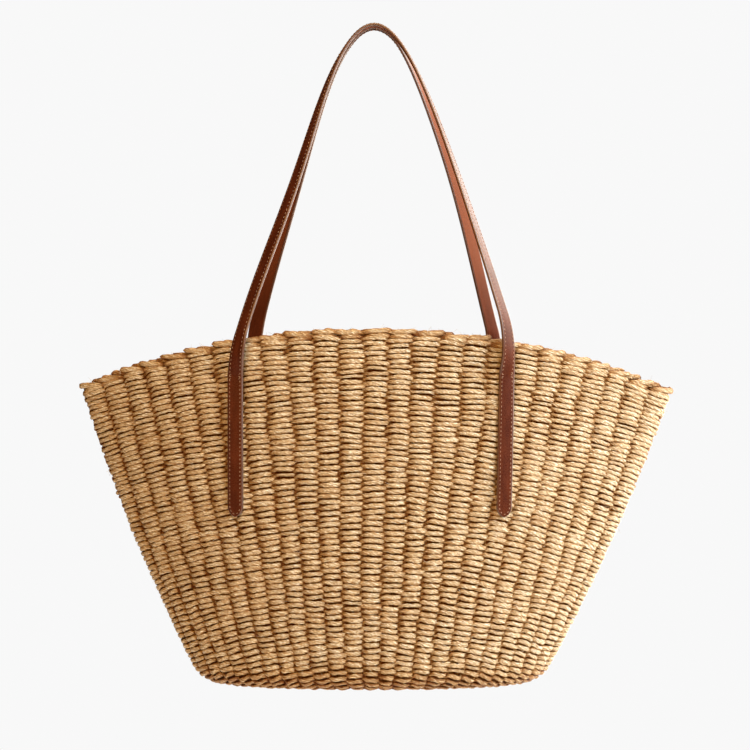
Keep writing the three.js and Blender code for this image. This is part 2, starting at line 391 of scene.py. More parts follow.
@dataclass
class MeshDraft:
    """A Blender object drafted from batches of tubes.

    Attributes:
        name: Name of the piece.
        batches: Batches taken in so far.
        margin_along: Clear share at both ends of a strip's cell on the bake map.
        margin_round: Clear share at both sides of it.
        cap_bulge: How far a tube's end caps bulge out of their strip there.
        cap_gap: How far they stand off it.
        strand_shift: Millimetres by which neighbours' patterns are set apart.
        batch_shift: Number of such steps from batch to batch.
    """

    name: str
    batches: list[TubeBatch] = field(default_factory=list)
    margin_along: float = 0.07
    margin_round: float = 0.06
    cap_bulge: float = 0.05
    cap_gap: float = 0.012
    strand_shift: float = 37.0
    batch_shift: float = 100.0

    def add(self, batch: TubeBatch) -> None:
        """Take in one more batch of tubes."""
        self.batches.append(batch)

    def bake_places(self, batch: TubeBatch, first: int, cells: int, columns: int) -> Array:
        """Lay a batch's tubes out as strips in the cells of the bake map.

        Args:
            batch: Tubes to lay out.
            first: First free cell.
            cells: Number of cells on the map.
            columns: Number of cells side by side.

        Returns:
            Both coordinates at every corner of every quad.
        """
        tube, ring, place = batch.corners()
        span = -(-batch.spans // batch.strips)
        strip = np.minimum(ring.min(axis=1) // span, batch.strips - 1)[:, None]
        inside = (ring - strip * span) / span
        around = place / batch.points.shape[2]
        is_cap = np.ptp(ring, axis=1, keepdims=True) == 0
        bulge = self.cap_bulge * np.sin(math.pi * np.clip(around, 0.0, 1.0)) + self.cap_gap
        inside = np.where(is_cap, np.where(ring == 0, -bulge, 1.0 + bulge), inside)
        rows = -(-cells // columns)
        column, row = np.divmod(first + tube * batch.strips + strip, rows)
        u = (column + lerp(self.margin_along, 1.0 - self.margin_along, inside)) / columns
        v = (row + lerp(self.margin_round, 1.0 - self.margin_round, around)) / rows
        return np.stack([u, v], axis=-1)

    def build(self) -> Piece:
        """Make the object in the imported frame.

        Returns:
            The new object, linked to the scene.
        """
        cells = sum(len(b.points) * b.strips for b in self.batches)
        sample = self.batches[0]
        ratio = sample.runs()[0, -1] / sample.strips / sample.girths()[0, -1]
        columns = max(1, round(math.sqrt(cells / max(ratio, 1.0))))
        points, quads, strand, bake, tone, painted_shade_and_edge_paint = [], [], [], [], [], []
        offset, cell = 0, 0
        for number, batch in enumerate(self.batches):
            tubes, rings, places = batch.points.shape[:3]
            tube, ring, place = batch.corners()
            quads.append((tube * rings + ring % rings) * places + place % places + offset)
            points.append(batch.points.reshape(-1, 3))
            shift = self.strand_shift * (tube + self.batch_shift * number)
            strand.append(np.stack([batch.runs()[tube, ring], batch.girths()[tube, place] + shift], axis=-1))
            bake.append(self.bake_places(batch, cell, cells, columns))
            tone.append(np.repeat(batch.tone.reshape(-1), places))
            painted_shade_and_edge_paint.append(batch.painted_shade_and_edge_paint.reshape(-1))
            offset += tubes * rings * places
            cell += tubes * batch.strips
        raised = np.concatenate(points) - FORM.hang_height * UP
        mesh = quad_mesh(self.name, raised * MM, np.concatenate(quads))
        add_map(mesh, STRAND_MAP, np.concatenate(strand))
        add_map(mesh, BAKE_MAP, np.concatenate(bake))
        add_value(mesh, TONE_AND_PAINTED_LIGHT, np.concatenate(tone))
        add_value(mesh, PAINTED_SHADE_AND_EDGE_PAINT, np.concatenate(painted_shade_and_edge_paint))
        return place_object(self.name, mesh)


def quad_mesh(name: str, points: Array, quads: Array) -> bpy.types.Mesh:
    """Make a smooth mesh of quads.

    Args:
        name: Name of the mesh.
        points: Vertex places in metres.
        quads: Four vertex numbers per face.

    Returns:
        The mesh.
    """
    mesh = bpy.data.meshes.new(name)
    mesh.vertices.add(len(points))
    mesh.vertices.foreach_set("co", points.astype(np.float32).ravel())
    mesh.loops.add(quads.size)
    mesh.loops.foreach_set("vertex_index", quads.astype(np.int32).ravel())
    mesh.polygons.add(len(quads))
    mesh.polygons.foreach_set("loop_start", np.arange(0, quads.size, 4, dtype=np.int32))
    mesh.polygons.foreach_set("use_smooth", np.ones(len(quads), dtype=bool))
    mesh.update(calc_edges=True)
    return mesh


def add_map(mesh: bpy.types.Mesh, name: str, places: Array) -> None:
    """Give a mesh a UV map with a place for each face corner."""
    layer = mesh.uv_layers.new(name=name)
    layer.data.foreach_set("uv", places.astype(np.float32).ravel())


def add_value(mesh: bpy.types.Mesh, name: str, values: Array) -> None:
    """Give a mesh a named number at each vertex."""
    layer = mesh.attributes.new(name=name, type="FLOAT", domain="POINT")
    layer.data.foreach_set("value", values.astype(np.float32).ravel())


def place_object(name: str, data: bpy.types.ID) -> Piece:
    """Link a new object for a mesh, lamp or camera to the scene.

    Args:
        name: Name of the object.
        data: What it shows.

    Returns:
        The object.
    """
    made = bpy.data.objects.new(name, data)
    bpy.context.scene.collection.objects.link(made)
    return made


def attach(piece: Piece, finishes: tuple, node: str | None = None) -> None:
    """Give a piece its finishes and body, and hide the CAD node that it stands for.

    Args:
        piece: Piece to dress.
        finishes: Its materials, in the order of its faces' material numbers.
        node: CAD node that it stands for, if any.
    """
    for finish in finishes:
        piece.data.materials.append(finish)
    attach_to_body(piece, ROOT)
    if node is not None:
        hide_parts(node)


@dataclass(frozen=True)
class Clouds:
    """A cloudy pattern on a strand or strap.

    Attributes:
        along: Clouds to a millimetre along it.
        around: Clouds to a millimetre round it.
        detail: Number of finer layers.
        rough: Strength of the finer layers.
    """

    along: float
    around: float
    detail: float
    rough: float = 0.55


class NodeWeb:
    """A material's nodes, added and joined by short calls."""

    def __init__(self, name: str) -> None:
        """Start a material with one surface shader.

        Args:
            name: Name of the material.
        """
        self.material = bpy.data.materials.new(name)
        self.material.use_nodes = True
        self.tree = self.material.node_tree
        self.shader = self.tree.nodes["Principled BSDF"]

    def add(self, kind: str, **settings: object) -> bpy.types.Node:
        """Add a node.

        Args:
            kind: Type of the node.
            settings: Its properties.

        Returns:
            The node.
        """
        node = self.tree.nodes.new(kind)
        for key, value in settings.items():
            setattr(node, key, value)
        return node

    def join(self, value: object, socket: Socket) -> None:
        """Feed a socket from another socket, or set its own value.

        Args:
            value: Socket or plain value.
            socket: Socket to feed.
        """
        if isinstance(value, Socket):
            self.tree.links.new(value, socket)
        else:
            socket.default_value = value

    def paint(self, name: str, value: object) -> None:
        """Feed or set an input of the surface shader."""
        self.join(value, self.shader.inputs[name])

    def math(self, operation: str, *values: object) -> Socket:
        """Work out one number from others.

        Args:
            operation: Blender's name for the sum.
            values: One to three sockets or numbers.

        Returns:
            The result.
        """
        node = self.add("ShaderNodeMath", operation=operation)
        for value, socket in zip(values, node.inputs):
            self.join(value, socket)
        return node.outputs[0]

    def times(self, value: object, factor: object) -> Socket:
        """Multiply two numbers."""
        return self.math("MULTIPLY", value, factor)

    def plus(self, first: object, second: object) -> Socket:
        """Add two numbers."""
        return self.math("ADD", first, second)

    def swayed(self, value: Socket, pattern: Socket, weight: float) -> Socket:
        """Raise and lower a number by a pattern about its middle."""
        return self.plus(value, self.times(self.math("SUBTRACT", pattern, 0.5), weight))

    def mix(self, share: object, first: Socket, colour: tuple, blend: str = "MIX") -> Socket:
        """Blend a colour into another.

        Args:
            share: How much of the plain colour shows.
            first: Colour to begin with.
            colour: Plain colour.
            blend: Blender's name for the way of blending.

        Returns:
            The blended colour.
        """
        node = self.add("ShaderNodeMix", data_type="RGBA", blend_type=blend)
        for value, number in ((share, 0), (first, 6), ((*colour, 1.0), 7)):
            self.join(value, node.inputs[number])
        return node.outputs[2]

    def value(self, name: str) -> Socket:
        """Read a mesh's named number."""
        return self.add("ShaderNodeAttribute", attribute_name=name).outputs["Fac"]

    def strand(self) -> tuple[Socket, Socket]:
        """Read the strand map.

        Returns:
            Millimetres along the strand and round it.
        """
        split = self.add("ShaderNodeSeparateXYZ")
        self.join(self.add("ShaderNodeUVMap", uv_map=STRAND_MAP).outputs[0], split.inputs[0])
        return split.outputs[0], split.outputs[1]

    def pair(self, first: object, second: object) -> Socket:
        """Put two coordinates together.

        Args:
            first: First coordinate.
            second: Second coordinate.

        Returns:
            Both as a vector.
        """
        joined = self.add("ShaderNodeCombineXYZ")
        self.join(first, joined.inputs[0])
        self.join(second, joined.inputs[1])
        return joined.outputs[0]

    def noise(self, along: Socket, around: Socket, clouds: Clouds) -> Socket:
        """Lay a cloudy pattern over a strand.

        Args:
            along: Millimetres along it.
            around: Millimetres round it.
            clouds: Kind of pattern.

        Returns:
            The pattern, 0 to 1.
        """
        places = self.pair(self.times(along, clouds.along), self.times(around, clouds.around))
        node = self.add("ShaderNodeTexNoise", noise_dimensions="2D")
        settings = {"Vector": places, "Scale": 1.0, "Detail": clouds.detail, "Roughness": clouds.rough}
        for name, value in settings.items():
            self.join(value, node.inputs[name])
        return node.outputs[0]

    def ramp(self, share: object, stops: list[tuple[float, tuple]]) -> Socket:
        """Turn a number into a colour.

        Args:
            share: The number.
            stops: Numbers with their colours.

        Returns:
            The colour.
        """
        node = self.add("ShaderNodeValToRGB")
        self.join(share, node.inputs[0])
        elements = node.color_ramp.elements
        while len(elements) < len(stops):
            elements.new(0.5)
        for element, (place, colour) in zip(elements, stops):
            element.position = place
            element.color = (*colour, 1.0)
        return node.outputs[0]

    def fit(self, value: object, low: float, high: float) -> Socket:
        """Stretch a share of 0 to 1 over another range.

        Args:
            value: The share.
            low: Result for 0.
            high: Result for 1.

        Returns:
            The stretched number.
        """
        node = self.add("ShaderNodeMapRange")
        for name, setting in (("Value", value), ("To Min", low), ("To Max", high)):
            self.join(setting, node.inputs[name])
        return node.outputs[0]

    def bump(self, height: Socket, distance: float, strength: float) -> None:
        """Raise the surface by a height pattern.

        Args:
            height: The pattern.
            distance: Height of 1 in the pattern, in millimetres.
            strength: Share of it that shows.
        """
        node = self.add("ShaderNodeBump")
        for name, value in (("Strength", strength), ("Distance", distance * MM), ("Height", height)):
            self.join(value, node.inputs[name])
        self.paint("Normal", node.outputs[0])


@dataclass(frozen=True)
class StrawFinish:
    """Twisted paper straw: cream and tan strands with fibre streaks and a fine twist, with painted shade in
    the twist's grooves and in the creases between strands.
    """

    name: str
    shade: float = 0.0  # how far the finish is dulled towards brown, 0 to 1
    brown: tuple = (0.385, 0.208, 0.082)
    tan: tuple = (0.575, 0.393, 0.195)
    gold: tuple = (0.745, 0.611, 0.406)
    cream: tuple = (0.95, 0.86, 0.69)
    shade_places: tuple = (0.0, 0.3, 0.62, 1.0)  # shades at which these four colours stand
    orange: tuple = (0.535, 0.278, 0.108)
    orange_from: float = 0.62  # patches above this are tinged with orange
    orange_share: float = 0.28
    # painted shade: colour, tint and deepening that darken the straw in its creases and under its floats
    crease_shade_colour: tuple = (0.055, 0.012, 0.001)
    crease_shade_tint: tuple = (1.0, 0.66, 0.20)
    crease_shade_deepening: float = 1.5
    hollow_shade_share: float = 0.9  # how much of the painted shade colour shows in the deepest crease
    # painted shade in the grooves of the twist
    groove_shade_colour: tuple = (0.36, 0.190, 0.070)
    groove_shade_share: float = 0.72
    twist_pitch: float = 8.0
    twist_lean: float = 2.6
    twist_waver: float = 5.0
    ply_power: float = 0.9
    streaks: Clouds = Clouds(0.14, 0.8, 4.0, 0.64)
    streak_weight: float = 2.6
    patches: Clouds = Clouds(0.035, 0.11, 2.0)
    patch_weight: float = 0.18
    waver: Clouds = Clouds(0.16, 0.2, 1.0)
    specks: Clouds = Clouds(0.42, 1.15, 2.0, 0.6)
    speck_range: tuple = (0.48, 0.67)
    speck_share: float = 0.85
    fibres: Clouds = Clouds(0.3, 1.5, 2.0, 0.6)
    relief_weights: tuple = (0.7, 0.6, 0.5)  # of the twist, the streaks and the fibres
    relief: float = 0.8
    roughness: tuple = (0.42, 0.72)
    gloss: tuple = (0.45, 0.02)  # on the crown of a strand and where the painted shade is deepest

    def material(self) -> Material:
        """Make the material.

        Returns:
            The material.
        """
        web = NodeWeb(self.name)
        along, around = web.strand()
        painted_shade_and_edge_paint = web.value(PAINTED_SHADE_AND_EDGE_PAINT)
        skew = web.math("MULTIPLY_ADD", along, self.twist_lean / self.twist_pitch, around)
        streaks = web.noise(along, skew, self.streaks)
        waver = web.times(web.noise(along, around, self.waver), self.twist_waver)
        turn = web.math("MULTIPLY_ADD", skew, math.pi / self.twist_lean, waver)
        ply = web.math("POWER", web.math("ABSOLUTE", web.math("SINE", turn)), self.ply_power)
        specks = web.noise(along, skew, self.specks)
        colour = self.straw_colour(web, streaks, web.noise(along, around, self.patches), specks)
        # Painted shade: the straw is darkened in the grooves of the twist.
        groove_shade = web.times(web.math("SUBTRACT", 1.0, ply), self.groove_shade_share)
        web.paint("Base Color", self.paint_crease_shade(web, web.mix(groove_shade, colour, self.groove_shade_colour), painted_shade_and_edge_paint))
        web.paint("Roughness", web.fit(streaks, *self.roughness))
        web.paint("Specular IOR Level", web.fit(painted_shade_and_edge_paint, *self.gloss))
        patterns = (ply, streaks, web.noise(along, skew, self.fibres))
        twist, streak, fibre = (web.times(p, w) for p, w in zip(patterns, self.relief_weights))
        web.bump(web.plus(web.plus(twist, streak), fibre), self.relief, 1.0)
        return web.material

    def straw_colour(self, web: NodeWeb, streaks: Socket, patches: Socket, specks: Socket) -> Socket:
        """Colour the bare straw.

        Args:
            web: Nodes of the material.
            streaks: Pattern of the fibre streaks.
            patches: Pattern of the paler and darker stretches.
            specks: Pattern of the brown specks.

        Returns:
            The colour without grooves and creases.
        """
        shade = web.swayed(web.value(TONE_AND_PAINTED_LIGHT), streaks, self.streak_weight)
        shade = web.swayed(shade, patches, self.patch_weight)
        shade = web.math("SUBTRACT", shade, self.shade)
        colours = (self.brown, self.tan, self.gold, self.cream)
        colour = web.ramp(shade, list(zip(self.shade_places, colours)))
        tinged = web.fit(web.math("GREATER_THAN", patches, self.orange_from), 0.0, self.orange_share)
        colour = web.mix(web.times(tinged, streaks), colour, self.orange)
        speck_stops = zip(self.speck_range, ((0.0,) * 3, (self.speck_share,) * 3))
        return web.mix(web.ramp(specks, list(speck_stops)), colour, self.brown)

    def paint_crease_shade(self, web: NodeWeb, colour: Socket, painted_shade_and_edge_paint: Socket) -> Socket:
        """Paint shade into a colour in the creases between strands.

        Args:
            web: Nodes of the material.
            colour: Colour of the straw.
            painted_shade_and_edge_paint: How much painted shade it gets.

        Returns:
            The colour with painted shade.
        """
        deepened = web.add("ShaderNodeGamma")
        web.join(colour, deepened.inputs[0])
        web.join(web.math("MULTIPLY_ADD", painted_shade_and_edge_paint, self.crease_shade_deepening, 1.0), deepened.inputs[1])
        tinted = web.mix(painted_shade_and_edge_paint, deepened.outputs[0], self.crease_shade_tint, "MULTIPLY")
        hollow = web.times(web.times(painted_shade_and_edge_paint, painted_shade_and_edge_paint), self.hollow_shade_share)
        return web.mix(hollow, tinted, self.crease_shade_colour)


@dataclass(frozen=True)
class LeatherFinish:
    """Smooth reddish brown leather with a fine grain and browner, glossier edges, and, where set, painted
    light that makes it paler towards the arch.
    """

    name: str
    deep: tuple = (0.050, 0.0092, 0.0030)
    mid: tuple = (0.073, 0.0142, 0.0046)
    worn: tuple = (0.106, 0.0222, 0.0076)
    shade_places: tuple = (0.22, 0.5, 0.82)  # shades at which these three colours stand
    edge_colour: tuple = (0.085, 0.0280, 0.0120)
    edge_share: float = 0.85
    # painted light: paler colour towards the arch, where the strap turns to the light
    painted_light: tuple = (0.170, 0.0460, 0.0190)
    painted_light_share: float = 0.0  # how much painted light makes the leather paler towards the arch, 0 to 1
    gloss: float = 0.14
    edge_gloss: float = 0.9
    sheen_colour: tuple = (1.0, 0.86, 0.74)
    roughness: tuple = (0.23, 0.35)
    clouds: Clouds = Clouds(0.045, 0.13, 4.0)
    fine: Clouds = Clouds(1.1, 1.1, 3.0)
    fine_weight: float = 1.3
    fine_relief: float = 0.5
    pores_per_mm: float = 1.1
    pore_depth: float = 3.2
    pore_level: float = 0.6  # height at which the skin between the pores is flat
    pore_blend: float = 0.25
    relief: float = 0.10
    relief_share: float = 0.5

    def material(self) -> Material:
        """Make the material.

        Returns:
            The material.
        """
        web = NodeWeb(self.name)
        along, around = web.strand()
        edge = web.value(PAINTED_SHADE_AND_EDGE_PAINT)
        fine = web.noise(along, around, self.fine)
        shade = web.swayed(web.noise(along, around, self.clouds), fine, self.fine_weight)
        colour = web.ramp(shade, list(zip(self.shade_places, (self.deep, self.mid, self.worn))))
        # Painted light: paler towards the arch, where the strap turns to the light.
        colour = web.mix(web.times(web.value(TONE_AND_PAINTED_LIGHT), self.painted_light_share), colour, self.painted_light)
        web.paint("Base Color", web.mix(web.times(edge, self.edge_share), colour, self.edge_colour))
        web.paint("Roughness", web.fit(fine, *self.roughness))
        web.paint("Specular IOR Level", web.fit(edge, self.gloss, self.edge_gloss))
        web.paint("Specular Tint", (*self.sheen_colour, 1.0))
        pores = web.add("ShaderNodeTexVoronoi", voronoi_dimensions="2D", feature="DISTANCE_TO_EDGE")
        web.join(web.pair(along, around), pores.inputs["Vector"])
        web.join(self.pores_per_mm, pores.inputs["Scale"])
        raised = web.times(pores.outputs[0], self.pore_depth)
        grain = web.math("SMOOTH_MIN", raised, self.pore_level, self.pore_blend)
        web.bump(web.plus(grain, web.times(fine, self.fine_relief)), self.relief, self.relief_share)
        return web.material


@dataclass(frozen=True)
class ThreadFinish:
    """Waxed sewing thread, pale against the leather, with painted shade in the grooves between its plies."""

    name: str
    dark: tuple = (0.20, 0.085, 0.040)
    light: tuple = (0.54, 0.340, 0.205)
    shade_places: tuple = (0.1, 0.9)
    ply_turns: tuple = (9.0, 5.0)  # radians to a millimetre along the thread and round it
    # painted shade: how much darker the thread is in the grooves between plies
    ply_shade_weight: float = 0.4
    tone_weight: float = 0.6
    roughness: float = 0.55
    relief: float = 0.06
    relief_share: float = 0.5

    def material(self) -> Material:
        """Make the material.

        Returns:
            The material.
        """
        web = NodeWeb(self.name)
        turn = web.plus(*(web.times(way, rate) for way, rate in zip(web.strand(), self.ply_turns)))
        ply = web.math("MULTIPLY_ADD", web.math("SINE", turn), 0.5, 0.5)
        shade = web.plus(web.times(ply, self.ply_shade_weight), web.times(web.value(TONE_AND_PAINTED_LIGHT), self.tone_weight))
        web.paint("Base Color", web.ramp(shade, list(zip(self.shade_places, (self.dark, self.light)))))
        web.paint("Roughness", self.roughness)
        web.bump(ply, self.relief, self.relief_share)
        return web.material


@dataclass(frozen=True)
class FloorFinish:
    """Matt pale studio paper."""

    name: str
    colour: tuple = (0.86, 0.86, 0.85)
    speckle_scale: float = 3.0
    roughness: tuple = (0.82, 0.9)

    def material(self) -> Material:
        """Make the material.

        Returns:
            The material.
        """
        web = NodeWeb(self.name)
        speckle = web.add("ShaderNodeTexNoise")
        web.join(web.add("ShaderNodeNewGeometry").outputs["Position"], speckle.inputs["Vector"])
        web.join(self.speckle_scale, speckle.inputs["Scale"])
        web.paint("Roughness", web.fit(speckle.outputs[0], *self.roughness))
        web.paint("Base Color", (*self.colour, 1.0))
        return web.material


@dataclass
class StakeLines:
    """Upright stakes and how far each wanders sideways on its way up.

    Attributes:
        count: Number of stakes.
        wander: Half of the most that a stake strays to either side, in stake pitches.
        wave_weights: Shares of three waves in that.
        wave_lengths: Their lengths up the wall, in millimetres to a radian.
        seed: Seed of the random draws.
        phases: Start of each wave of each stake.
    """

    count: int = 50
    wander: float = 0.055
    wave_weights: tuple = (0.55, 0.3, 0.15)
    wave_lengths: tuple = (41.0, 19.0, 9.0)
    seed: int = 11
    phases: Array = field(init=False)

    def __post_init__(self) -> None:
        """Draw the wander of every stake."""
        size = (len(self.wave_weights), self.count)
        self.phases = np.random.default_rng(self.seed).uniform(0.0, 2.0 * math.pi, size)

    def shares(self, reach: float) -> Array:
        """Find where the stakes stand.

        Args:
            reach: Reach at which to look.

        Returns:
            Their shares of the way round.
        """
        kinds = zip(self.wave_weights, self.wave_lengths, self.phases)
        waves = sum(weight * np.sin(reach / length + phase) for weight, length, phase in kinds)
        return (np.arange(self.count) + 2.0 * self.wander * waves) / self.count

    def between(self, reach: float, stake: Array, offset: Array) -> Array:
        """Find places beside stakes.

        Args:
            reach: Reach at which to look.
            stake: Numbers of the stakes.
            offset: Distances from them, up to one stake pitch either way.

        Returns:
            Shares of the way round.
        """
        own = self.shares(reach)
        ahead = np.append(own[1:], own[0] + 1.0)
        behind = np.insert(own[:-1], 0, own[-1] - 1.0)
        gap = np.where(offset < 0.0, (own - behind)[stake], (ahead - own)[stake])
        return own[stake] + offset * gap


STAKES = StakeLines()


@dataclass(frozen=True)
class HandWork:
    """How far the rows stray from even work, as spreads of random draws and as slow waves."""

    most_draw: float = 2.2  # largest draw for a float
    most_rough: float = 2.0  # largest draw for a ring or crossing
    tone: float = 0.045  # shade of a float
    row_tone: float = 0.02  # shade of a whole row
    cross: float = 0.055  # place of a crossing, in stake pitches
    loose: float = 0.12  # swing of a float
    tall: float = 0.07  # height of a float, as a share
    rough: float = 0.05  # height of a ring, as a share
    waver: float = 0.1  # place of a ring up the wall
    slip: float = 0.22  # rise of a float's middle
    tilt: float = 0.36  # tilt of a float
    arc: tuple = (0.2, 0.35, 27.0)  # rise of a rib's floats: mean, swing and length up the wall
    lean: tuple = (0.3, 21.0)  # tilt of a rib's floats: swing and length up the wall
    drift: tuple = ((0.8, 3.0, 31.0, 0.0), (0.5, 7.0, -17.0, 1.3), (0.3, 13.0, 11.0, 4.0))  # see drifted

    def drifted(self, reach: float, shares: Array) -> Array:
        """Find how far slow waves carry a row up the wall.

        Args:
            reach: Reach of the row.
            shares: Shares of the way round.

        Returns:
            The sum of the waves, each given by its height, its number round the bag, its length up
            the wall and its start.
        """
        turn = 2.0 * math.pi * shares
        return sum(high * np.sin(number * turn + reach / length + start)
                   for high, number, length, start in self.drift)


@dataclass(frozen=True)
class PaintedCreaseShade:
    """Painted shade on the hidden stretches of a row, 0 to 1: its colour is darkened where shade falls."""

    lower: float = 0.85  # painted shadow along the lower edge of a strand
    lower_power: float = 6.0
    upper: float = 0.5  # painted shade along its upper edge
    upper_power: float = 8.0
    dive: float = 0.27  # painted shade where it passes into the wall
    dive_power: float = 4.0
    dive_relief: float = 0.4  # how much weaker the painted edge shade is there
    hidden: float = 0.6  # painted shade on the side turned to the stakes
    corner: float = 0.22  # painted shade on the corner and base

    def depth(self, out: Array, up: Array, ends: Array, side: Array, under: float) -> Array:
        """Find how much painted shade each point of a row gets.

        Args:
            out: Section of the strand out of the wall.
            up: Section of the strand up the wall.
            ends: 0 in the middle of a float to 1 at its ends, by ring.
            side: 1 where the row passes outside and -1 inside, by ring.
            under: 1 on the base to 0 on the wall.

        Returns:
            Depths by ring and place.
        """
        steep = np.abs(up)
        edge = np.where(up < 0.0, self.lower * steep**self.lower_power, self.upper * steep**self.upper_power)
        dive = ends[:, None] ** self.dive_power
        hidden = np.clip(-out * side[:, None], 0.0, 1.0)
        depth = edge * (1.0 - self.dive_relief * dive) + self.dive * dive + self.hidden * hidden
        return np.clip(depth + self.corner * under, 0.0, 1.0)


@dataclass
class Weave:
    """Straw woven in and out of the stakes, as rows of closed strands.

    Attributes:
        name: Stem of the pieces' names.
        first: Reach of the first row.
        last: Reach of the last row.
        node: CAD node that the weave stands for.
        bands: Number of pieces that the rows are split into.
        pitch: Mean distance between rows.
        tighten: A third of the share by which the last rows lie closer than the mean.
        outer_steps: Places of the rings over a stake on the outside, in stake pitches.
        inner_steps: Places of the rings over a stake on the inside.
        places: Points round a strand.
        swing: How far a float's middle lies from the wall's middle surface.
        half_thickness: Half of a float's thickness out of the wall.
        half_height: Half of its height up the wall.
        crossing_height: Half of a strand's height where it crosses the wall.
        crossing_thickness: Half of its thickness there.
        crown_power: Fullness of a float's bow.
        flat_power: Fullness of its height.
        straight_power: How far along a float its tilt carries.
        lump: How far the twist swells a strand, as a share.
        lump_length: Length of one turn of the twist.
        thin_share: Share of the floats that are thin.
        thin_height: Their height as a share.
        square: How far the floats stand square to splayed stakes.
        tone: Mean shade of the straw, 0 to 1.
        tone_range: Darkest and palest shade.
        corner_above: Height above the corner at which the rows begin to change towards the base.
        corner_fade: Length over which they change.
        corner_calm: How much less they swing on the base, as a share.
        corner_shade: Painted shade: how much darker the rows are painted there.
        crease_shade: Painted shade on the hidden stretches.
        hand: How far the rows stray from even work.
        seed: Seed of the random draws.
        pieces: Pieces made so far.
    """

    name: str
    first: float
    last: float
    node: str
    bands: int = 1
    pitch: float = 2.41
    tighten: float = 0.0
    outer_steps: tuple = (-0.5, -0.43, -0.33, -0.18, 0.0, 0.18, 0.33, 0.43)
    inner_steps: tuple = (-0.5, -0.3, 0.0, 0.3)
    places: int = 8
    swing: float = 3.0
    half_thickness: float = 1.5
    half_height: float = 2.17
    crossing_height: float = 1.4
    crossing_thickness: float = 1.82
    crown_power: float = 2.2
    flat_power: float = 4.0
    straight_power: float = 6.0
    lump: float = 0.12
    lump_length: float = 8.0
    thin_share: float = 0.03
    thin_height: float = 0.72
    square: float = 1.2
    tone: float = 0.5
    tone_range: tuple = (0.05, 0.97)
    corner_above: float = 10.0
    corner_fade: float = 24.0
    corner_calm: float = 0.35
    corner_shade: float = 0.2
    crease_shade: PaintedCreaseShade = PaintedCreaseShade()
    hand: HandWork = HandWork()
    seed: int = 5
    pieces: list = field(default_factory=list)

    def build(self) -> list[Piece]:
        """Weave all rows and make one piece for each band.

        Returns:
            The pieces.
        """
        rng = np.random.default_rng(self.seed)
        count = int(round((self.last - self.first) / self.pitch))
        share = (np.arange(count) + 0.5) / count
        reaches = lerp(self.first, self.last, share + self.tighten * (share - share**4))
        squeeze = 1.0 + self.tighten * (1.0 - 4.0 * share**3)
        rows = [self.row(number, reaches[number], squeeze[number], rng) for number in range(count)]
        for band, part in enumerate(np.array_split(np.arange(count), self.bands)):
            points, tone, painted_shade_and_edge_paint = (np.stack([rows[i][kind] for i in part]) for kind in range(3))
            draft = MeshDraft(self.name if self.bands == 1 else f"{self.name}_{band + 1}")
            draft.add(TubeBatch(points, True, tone, painted_shade_and_edge_paint, strips=2))
            self.pieces.append(draft.build())
        return self.pieces

    def stations(self, number: int) -> tuple[Array, Array, Array]:
        """Choose where the rings of a row stand.

        Args:
            number: Number of the row, which decides the stakes that it passes outside.

        Returns:
            Stake of each ring, its place beside the stake, and 1 outside or -1 inside.
        """
        steps = [self.inner_steps if (k + number) % 2 else self.outer_steps for k in range(STAKES.count)]
        stake = np.repeat(np.arange(STAKES.count), [len(n) for n in steps])
        return stake, np.concatenate(steps), np.where((stake + number) % 2 == 0, 1.0, -1.0)

    def row(self, number: int, reach: float, squeeze: float, rng: Random) -> tuple[Array, Array, Array]:
        """Weave one row.

        Args:
            number: Number of the row.
            reach: Where the row lies.
            squeeze: Height of the row as a share of the mean.
            rng: Source of its irregularities.

        Returns:
            Points by ring and place, tone by ring, painted shade by ring and place.
        """
        hand, count = self.hand, STAKES.count
        stake, offset, side = self.stations(number)
        ends = np.abs(2.0 * offset)
        crown = 1.0 - ends**self.crown_power
        loose, tall, slip, tilt = draw(rng, (4, count), hand.most_draw)
        tone = self.tone + hand.tone * rng.normal(0.0, 1.0, count) + hand.row_tone * rng.normal()
        thin = np.where(rng.uniform(0.0, 1.0, count) < self.thin_share, self.thin_height, 1.0)[stake]
        start = rng.uniform(0.0, 2.0 * math.pi)
        cross = hand.cross * draw(rng, count, hand.most_rough)
        height_rough, place_rough = draw(rng, (2, len(stake)), hand.most_rough)

        shares = STAKES.between(reach, stake, offset)
        shares = shares + lerp(np.roll(cross, 1)[stake], cross[stake], offset + 0.5) / count
        points, _, upward, outward = FORM.frames(reach, shares)
        under = smooth((FORM.corner_reach + self.corner_above - reach) / self.corner_fade)
        swing = self.swing * (1.0 - self.corner_calm * under) + hand.loose * loose[stake]
        full = self.half_height * (1.0 + hand.tall * tall[stake] + hand.rough * height_rough) * thin
        height = squeeze * lerp(self.crossing_height, full, 1.0 - ends**self.flat_power)
        thickness = lerp(self.crossing_thickness, self.half_thickness * thin, crown)
        rise, lean = self.rib_lines(reach)
        lift = hand.drifted(reach, shares) + (rise + hand.slip * slip)[stake] * crown
        tilted = (lean + hand.tilt * tilt)[stake] * 2.0 * offset
        lift = lift + tilted * (1.0 - ends**self.straight_power) + hand.waver * place_rough

        out, up = section(self.places)
        run = np.cumsum(np.linalg.norm(np.diff(points, axis=0, prepend=points[-1:]), axis=1))
        twist = 2.0 * math.pi * run[:, None] / self.lump_length + start
        lump = 1.0 + self.lump * np.cos(2.0 * turns(self.places) - twist)
        outs = (side * swing * crown)[:, None] + thickness[:, None] * out * lump
        ups = lift[:, None] + height[:, None] * up * lump
        rings = points[:, None] + outward[:, None] * outs[..., None] + upward[:, None] * ups[..., None]
        # Painted shade: the rows are darkened towards the corner and base.
        shade = np.clip(tone, *self.tone_range)[stake] - self.corner_shade * under
        return rings, shade, self.crease_shade.depth(out, up, ends, side, under)

